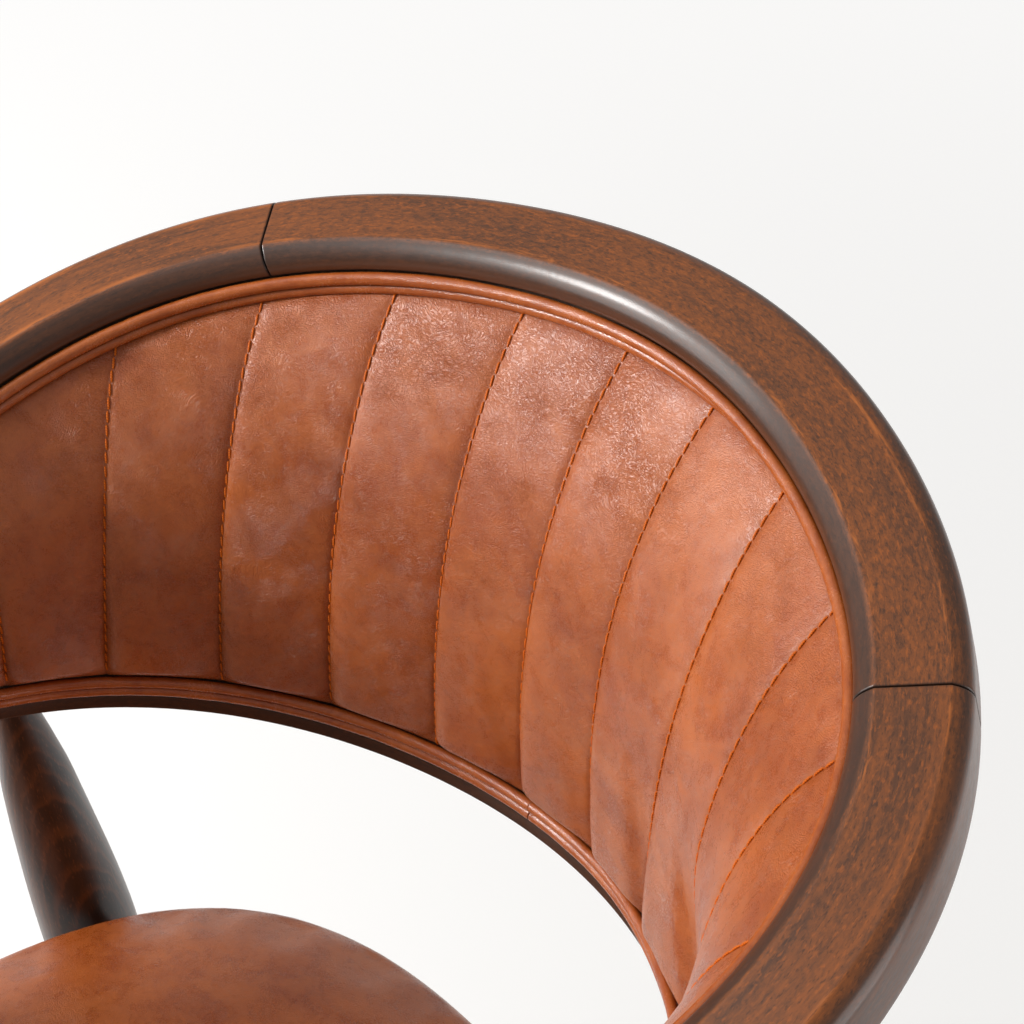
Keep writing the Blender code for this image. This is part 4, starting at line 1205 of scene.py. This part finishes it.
cane_verts, cane_faces, cane_grain = [], [], []
SECTION = ((-0.5, -0.30), (0.5, -0.30), (0.46, 0.22), (0.22, 0.50), (-0.22, 0.50), (-0.46, 0.22))


def cane_strand(s, y, z, start):
    keep = np.abs(y) < half_height(s)
    keep &= np.abs(s) < CANE_S
    # split into unbroken runs
    idx = np.flatnonzero(keep)
    if len(idx) < 2:
        return
    for run in np.split(idx, np.flatnonzero(np.diff(idx) > 1) + 1):
        if len(run) < 3:
            continue
        pts, out = cane_point(s[run], y[run], z[run])
        tan = np.gradient(pts, axis=0)
        tan /= np.linalg.norm(tan, axis=1)[:, None]
        wide = np.cross(out, tan)
        wide /= np.linalg.norm(wide, axis=1)[:, None]
        up = np.cross(tan, wide)
        dist = start + np.concatenate([[0.0], np.cumsum(np.linalg.norm(np.diff(pts, axis=0), axis=1))])
        base = len(cane_verts)
        n = len(SECTION)
        for i in range(len(run)):
            for a, b in SECTION:
                cane_verts.append(tuple(pts[i] + wide[i] * (a * CANE_W) + up[i] * (b * CANE_THICK)))
                cane_grain.append((float(dist[i]), a * CANE_W + start * 0.7, b * CANE_THICK))
        for i in range(len(run) - 1):
            for k in range(n):
                k2 = (k + 1) % n
                cane_faces.append((base + i * n + k, base + i * n + k2, base + (i + 1) * n + k2, base + (i + 1) * n + k))
        cane_faces.append(tuple(base + k for k in reversed(range(n))))
        last = base + (len(run) - 1) * n
        cane_faces.append(tuple(last + k for k in range(n)))


TALL_CANE = float(TAB_CH.max()) / 2
half_k = int(CANE_S / CANE_PITCH) + 1
half_j = int(TALL_CANE / CANE_PITCH) + 1
TURN = 2 * math.pi / CANE_PITCH
yy = np.arange(-TALL_CANE, TALL_CANE, CANE_PITCH / 5)
ss = np.arange(-CANE_S, CANE_S, CANE_PITCH / 5)
for k in range(-half_k, half_k + 1):
    for m in (-1, 1):
        s0 = k * CANE_PITCH + m * CANE_PAIR
        cane_strand(np.full_like(yy, s0), yy, 0.00012 + 0.00012 * np.cos(yy * TURN), 0.31 * k + 0.13 * m)
for k in range(-half_j, half_j + 1):
    for m in (-1, 1):
        y0 = k * CANE_PITCH + m * CANE_PAIR
        cane_strand(ss, np.full_like(ss, y0), -0.00014 - 0.00012 * np.cos(ss * TURN), 7.0 + 0.37 * k + 0.11 * m)
fine = np.arange(-TALL_CANE, TALL_CANE, CANE_PITCH / 8)
for k in range(-half_k - half_j - 1, half_k + half_j + 2):
    s0 = (k + 0.5) * CANE_PITCH
    a = s0 + fine
    cane_strand(a, fine, CANE_WAVE * np.cos(a * TURN), 21.0 + 0.23 * k)
    a = s0 - fine
    cane_strand(a, fine, -CANE_WAVE * np.cos(a * TURN), 43.0 + 0.29 * k)
weave_mesh = bpy.data.meshes.new("cane_weave")
weave_mesh.from_pydata(cane_verts, [], cane_faces)
attr = weave_mesh.attributes.new("grain", "FLOAT_VECTOR", "POINT")
attr.data.foreach_set("vector", np.array(cane_grain, dtype=np.float32).ravel())
weave_mesh.shade_smooth()
weave_mesh.set_sharp_from_angle(angle=math.radians(60.0))
weave = bpy.data.objects.new("cane_weave", weave_mesh)
bpy.context.scene.collection.objects.link(weave)
weave_mesh.materials.append(CANE)
piece(weave, stands_for=("cane_panel",))


def reed(name, path, radius, node=None):
    """Round reed pressed over the edge of the weave, never quite even."""
    rings, coords = tube_rings(path, [radius * (1 + 0.05 * noise.noise(Vector((i * 0.31, radius * 900, 2.2))))
                                      for i in range(len(path))], 14)
    o = loft(name, rings, [[(c[0], math.cos(6.2832 * c[1]) * radius, math.sin(6.2832 * c[1]) * radius) for c in row]
                           for row in coords], angle=60.0)
    o.data.materials.append(CANE)
    return piece(o, stands_for=(node,) if node else ())


reed_u = between(-CANE_U + 1.0, CANE_U - 1.0, 251)
reed("reed_top", [hoop(u, mix(0.0231, 0.0139, rise(u)), -HOOP_T - SPLINE_R - 0.0006) for u in reed_u], SPLINE_R,
     "cane_spline_top")
reed("reed_bottom", [low(u, 0.0203 + 0.0044 * midway(u), LOW_T + SPLINE_R + 0.0008) for u in reed_u], SPLINE_R,
     "cane_spline_bottom")
for s, side_name in ((-1, "left"), (1, "right")):
    u = s * (CANE_U - 0.6)
    a, b = cane_top(u), cane_bottom(u)
    out = panel(u)[3]
    run_down = (b - a).normalized()
    a, b = a + run_down * 0.0030 + out * 0.0034, b - run_down * 0.0030 + out * 0.0034
    reed(f"reed_end_{side_name}", [a.lerp(b, i / 11) for i in range(12)], 0.0017)


# ------------------------------------------------------------ legs
def make_leg(kind, side_name, s):
    top, d = leg_line(kind, s)
    prof = leg_profile(kind)
    ds, rs = np.array([q for _, q in prof]), np.array([r for r, _ in prof])
    ref = Vector((0, 1, 0)) - d * d.y
    ref.normalize()
    cross = d.cross(ref)
    up = LOW_UP if kind == "rear" else HOOP_UP
    foot = (top.z - GLIDE_H) / -d.z
    stations = [0.0] + list(np.linspace(0.004, foot - 0.0012, 96)) + [foot]
    # monotone smooth radius between the stations of the turned shape
    slopes = np.gradient(rs, ds)

    def radius(q):
        i = int(np.clip(np.searchsorted(ds, q) - 1, 0, len(ds) - 2))
        h = ds[i + 1] - ds[i]
        t = min(1.0, max(0.0, (q - ds[i]) / h))
        return ((2 * t ** 3 - 3 * t ** 2 + 1) * rs[i] + (t ** 3 - 2 * t ** 2 + t) * h * slopes[i]
                + (-2 * t ** 3 + 3 * t ** 2) * rs[i + 1] + (t ** 3 - t ** 2) * h * slopes[i + 1])

    sides = 64
    rings, coords = [], []
    for n, q in enumerate(stations):
        r = radius(max(q, 0.0))
        # straighter taper than the turned solid's, kept within a millimetre or so of it
        r += 0.0012 * (1 - smooth(q / 0.045)) + 0.0013 * smooth((q - 0.09) / 0.11) * (1 - smooth((q - 0.22) / 0.16))
        bow = 0.0015 * smooth((q - 0.06) / 0.13) * (1 - smooth((q - 0.24) / 0.22)) if kind == "rear" else 0.0
        if n == len(stations) - 1:
            r -= 0.0010
        ring, cc = [], []
        for k in range(sides):
            a = 2 * math.pi * k / sides
            off = (ref * math.cos(a) + cross * math.sin(a)) * r
            p = top + d * q + off + ref * bow
            if n == 0:
                # the shoulder follows the rail's underside and just bites into it
                p = p + d * ((-(p - top).dot(up) + 0.0008) / d.dot(up))
            elif q < 0.03:
                w = 1 - q / 0.03
                p = p + d * ((-off.dot(up)) / d.dot(up)) * w
            if n == len(stations) - 1 or p.z < GLIDE_H:
                p = p + d * ((GLIDE_H - p.z) / d.z)
            ring.append(p)
            cc.append((q, off.dot(ref), off.dot(cross)))
        rings.append(ring)
        coords.append(cc)
    o = loft(f"wood_{kind}_leg_{side_name}", rings, coords, angle=50.0)
    o.data.materials.append(LEG_MATS[(kind, side_name)])
    return piece(o, stands_for=(f"{kind}_leg_{side_name}",))


LEG_MATS = {(k, sd): leg_material(f"turned_wood_{k}_{sd}", seed) for k, sd, seed in
            (("rear", "left", 0.0), ("rear", "right", 3.3), ("front", "left", 6.1), ("front", "right", 9.7))}
for kind in ("rear", "front"):
    for side_name, s in (("left", -1), ("right", 1)):
        make_leg(kind, side_name, s)


# ------------------------------------------------------------ filling by simulation
def fill_out(o, pressure, cap, pin, grow=0.0, frames=20, stiff=12.0):
    """Let the piece swell as cloth under pressure, held where pin says so (0 to 1 a vertex),
    with no point moving further than cap; the result is written into the mesh."""
    sc = bpy.context.scene
    me = o.data
    start = np.empty(len(me.vertices) * 3)
    me.vertices.foreach_get("co", start)
    start = start.reshape(-1, 3)
    group = o.vertex_groups.new(name="held")
    for i, w in enumerate(pin):
        if w > 0.001:
            group.add([i], float(w), "REPLACE")
    mod = o.modifiers.new("cloth", "CLOTH")
    st = mod.settings
    st.quality = 6
    st.mass = 0.25
    st.air_damping = 3.0
    st.tension_stiffness = st.compression_stiffness = stiff
    st.shear_stiffness = stiff * 0.5
    st.bending_stiffness = 0.8
    st.use_pressure = True
    st.uniform_pressure_force = pressure
    st.shrink_min = -grow
    st.vertex_group_mass = "held"
    st.pin_stiffness = 1.0
    st.effector_weights.gravity = 0.0
    mod.collision_settings.use_collision = False
    mod.point_cache.frame_start, mod.point_cache.frame_end = 1, frames
    for f in range(1, frames + 1):
        sc.frame_set(f)
    ev = o.evaluated_get(bpy.context.evaluated_depsgraph_get())
    em = ev.to_mesh()
    done = np.empty(len(em.vertices) * 3)
    em.vertices.foreach_get("co", done)
    done = done.reshape(-1, 3)
    ev.to_mesh_clear()
    o.modifiers.remove(mod)
    o.vertex_groups.remove(group)
    sc.frame_set(1)
    move = done - start
    move[~np.isfinite(move).all(axis=1)] = 0.0
    size = np.linalg.norm(move, axis=1)
    move *= np.where(size > cap, cap / np.maximum(size, 1e-9), 1.0)[:, None]
    me.vertices.foreach_set("co", (start + move).ravel())
    me.update()
    print("filled", o.name, "mean", round(float(size.mean()) * 1000, 2), "max", round(float(size.max()) * 1000, 2), "mm")


# ------------------------------------------------------------ seat cushion
def seat_rings(a_scale=1.0, drop=0.0):
    """Crowned cushion whose leather is pulled round the board and turned under it."""
    a0 = SEAT_A * a_scale
    edge = 0.0300
    prof = [(0.30, 0.4102), (0.70, 0.4102), (0.935, 0.4102), (0.9530, 0.4098), (0.9530, 0.4020),
            (0.9560, 0.3985), (0.9650, 0.3982), (0.9780, 0.3986), (0.9870, 0.4004), (0.9925, 0.4035), (0.9955, 0.4075),
            (0.9980, 0.4130)]
    for k in range(0, 91, 6):
        c, s = math.cos(k * DEG), math.sin(k * DEG)
        prof.append(((a0 - edge * (1 - c)) / SEAT_A, SEAT_EDGE - edge + edge * s - drop))
    top = SEAT_TOP - SEAT_EDGE
    inner = (a0 - edge) / SEAT_A
    for f in between(0.97, 0.03, 34):
        prof.append((inner * f, SEAT_EDGE - drop + top * (1 - f ** 2.2)))
    return prof


SEAT_COUNT = 160
rings = []
for f, z in seat_rings(a_scale=1.016, drop=0.0034):
    rings.append([Vector((x, y, z)) for x, y in outline(SEAT_A * f, 2.72, SEAT_COUNT)])
bm = bmesh.new()
painted_shade_layer = bm.verts.layers.float.new("crease")
loops = []
for ring in rings:
    row = []
    for p in ring:
        v = bm.verts.new(p)
        # painted shade: the leather turned under the cushion, below z 0.402, is darkened
        v[painted_shade_layer] = float(np.clip((0.402 - p.z) / 0.003, 0, 1))
        row.append(v)
    loops.append(row)
for a, b in zip(loops, loops[1:]):
    for i in range(SEAT_COUNT):
        j = (i + 1) % SEAT_COUNT
        bm.faces.new((a[i], a[j], b[j], b[i]))
bm.faces.new(list(reversed(loops[0])))
bm.faces.new(loops[-1])
seat = finish_mesh("seat_cushion_leather", bm, 60.0)
seat_z = np.array([v.co.z for v in seat.data.vertices])
fill_out(seat, 2.2, 0.0035, 1.0 - np_smooth((seat_z - 0.4180) / 0.0200), grow=0.0)
seat.data.materials.append(LEATHER_SEAT)
piece(seat, stands_for=("seat_cushion",))


# ------------------------------------------------------------ CAD pieces that keep their shape
def paint(names, mat, slot):
    for n in names:
        o = nodes[n]
        o.data.materials.clear()
        o.data.materials.append(mat)


SIDES = ("left", "right")
RAIL_WOOD = board_wood_material("stained_wood_rails", (0.105, 0.0350, 0.0150), (0.045, 0.0190, 0.0110),
                                (0.018, 0.0100, 0.0070), axis=(0.12, 1.0, 1.0), rough=0.40)
RAIL_WOOD_SIDE = board_wood_material("stained_wood_side_rails", (0.105, 0.0350, 0.0150), (0.045, 0.0190, 0.0110),
                                     (0.018, 0.0100, 0.0070), axis=(1.0, 0.12, 1.0), rough=0.40)
paint(["seat_rail_front", "seat_rail_rear"], RAIL_WOOD, "walnut")
paint(["seat_rail_left", "seat_rail_right"], RAIL_WOOD_SIDE, "walnut")
paint([f"corner_block_{k}_{s}" for k in ("front", "rear") for s in SIDES], BEECH, "beech")
paint([f"joint_dowel_{s}_{k}" for k in ("inner", "outer") for s in SIDES] + [f"rail_dowel_{s}" for s in SIDES], BEECH, "beech")
paint(["seat_board"], PLY, "plywood")
paint(["back_board"], LINING, "plywood")
paint([f"seat_screw_{k}_{s}" for k in ("front", "rear") for s in SIDES], STEEL, "steel")
paint([f"glide_{k}_{s}" for k in ("front", "rear") for s in SIDES], NYLON, "glide")


# ------------------------------------------------------------ floor and light
floor_mesh = bpy.data.meshes.new("floor")
bm = bmesh.new()
bmesh.ops.create_grid(bm, x_segments=2, y_segments=2, size=14.0)
bm.to_mesh(floor_mesh)
bm.free()
floor = bpy.data.objects.new("floor", floor_mesh)
bpy.context.scene.collection.objects.link(floor)
fg = Graph("floor_paper_painted_light_and_shade")
# painted shade: the floor is darker in front of the chair, standing for the dark studio there; behind it the white
# paper starts
across = fg.split(fg.place())
behind = fg.math("ADD", fg.math("MULTIPLY", across[1], 0.83), fg.math("MULTIPLY", across[0], -0.55))
behind = fg.ramp(behind, -0.10, 0.28)
fg.put(fg.bsdf.inputs["Base Color"], fg.blend(behind, (0.42, 0.416, 0.412), (0.80, 0.797, 0.792)))
fg.bsdf.inputs["Roughness"].default_value = 0.95
fg.bsdf.inputs["Specular IOR Level"].default_value = 0.05
# painted light: the paper glows (emission) more towards its far end, behind the chair, as a lit studio sweep would look
far = fg.node("ShaderNodeVectorMath", operation="LENGTH")
fg.put(far.inputs[0], fg.place())
fg.bsdf.inputs["Emission Color"].default_value = (1.0, 0.995, 0.99, 1.0)
fg.put(fg.bsdf.inputs["Emission Strength"],
       fg.math("MULTIPLY", behind, fg.ramp(far.outputs["Value"], 0.1, 3.0, 0.12, 0.54)))
floor_mesh.materials.append(fg.m)

world = bpy.data.worlds.new("studio")
world.use_nodes = True
world.node_tree.nodes["Background"].inputs[0].default_value = (1.0, 0.995, 0.985, 1.0)
world.node_tree.nodes["Background"].inputs[1].default_value = 0.34
bpy.context.scene.world = world


def softbox(name, at, look, wide, tall, watts, colour=(1, 1, 1)):
    li = bpy.data.lights.new(name, "AREA")
    li.shape = "RECTANGLE"
    li.size, li.size_y = wide, tall
    li.energy = watts
    li.color = colour
    o = bpy.data.objects.new(name, li)
    bpy.context.scene.collection.objects.link(o)
    o.location = at
    o.rotation_euler = (Vector(look) - Vector(at)).to_track_quat("-Z", "Y").to_euler()
    return o


CENTRE = Vector((0.0, 0.05, 0.72))
KEY_AT = Vector((-0.018, 0.2116, 0.763))
softbox("key", KEY_AT + Vector((-0.500, -0.752, 0.431)) * 2.2, KEY_AT, 0.46, 0.40, 36.0, (1.0, 0.985, 0.965))
softbox("fill", KEY_AT + Vector((-0.594, -0.782, 0.191)) * 2.2, KEY_AT, 1.3, 1.2, 24.0, (1.0, 0.985, 0.965))
softbox("top", CENTRE + Vector((-1.1, -1.0, 1.7)), CENTRE, 2.0, 2.0, 14.0)
softbox("rim", CENTRE + Vector((0.90, 0.44, 0.0)).normalized() * 2.0 + Vector((0, 0, 0.05)), CENTRE, 1.2, 1.4, 18.0)

scene = bpy.context.scene
scene.view_settings.view_transform = "Standard"
scene.view_settings.look = "None"
scene.view_settings.exposure = 0.0
scene.view_settings.gamma = 1.0
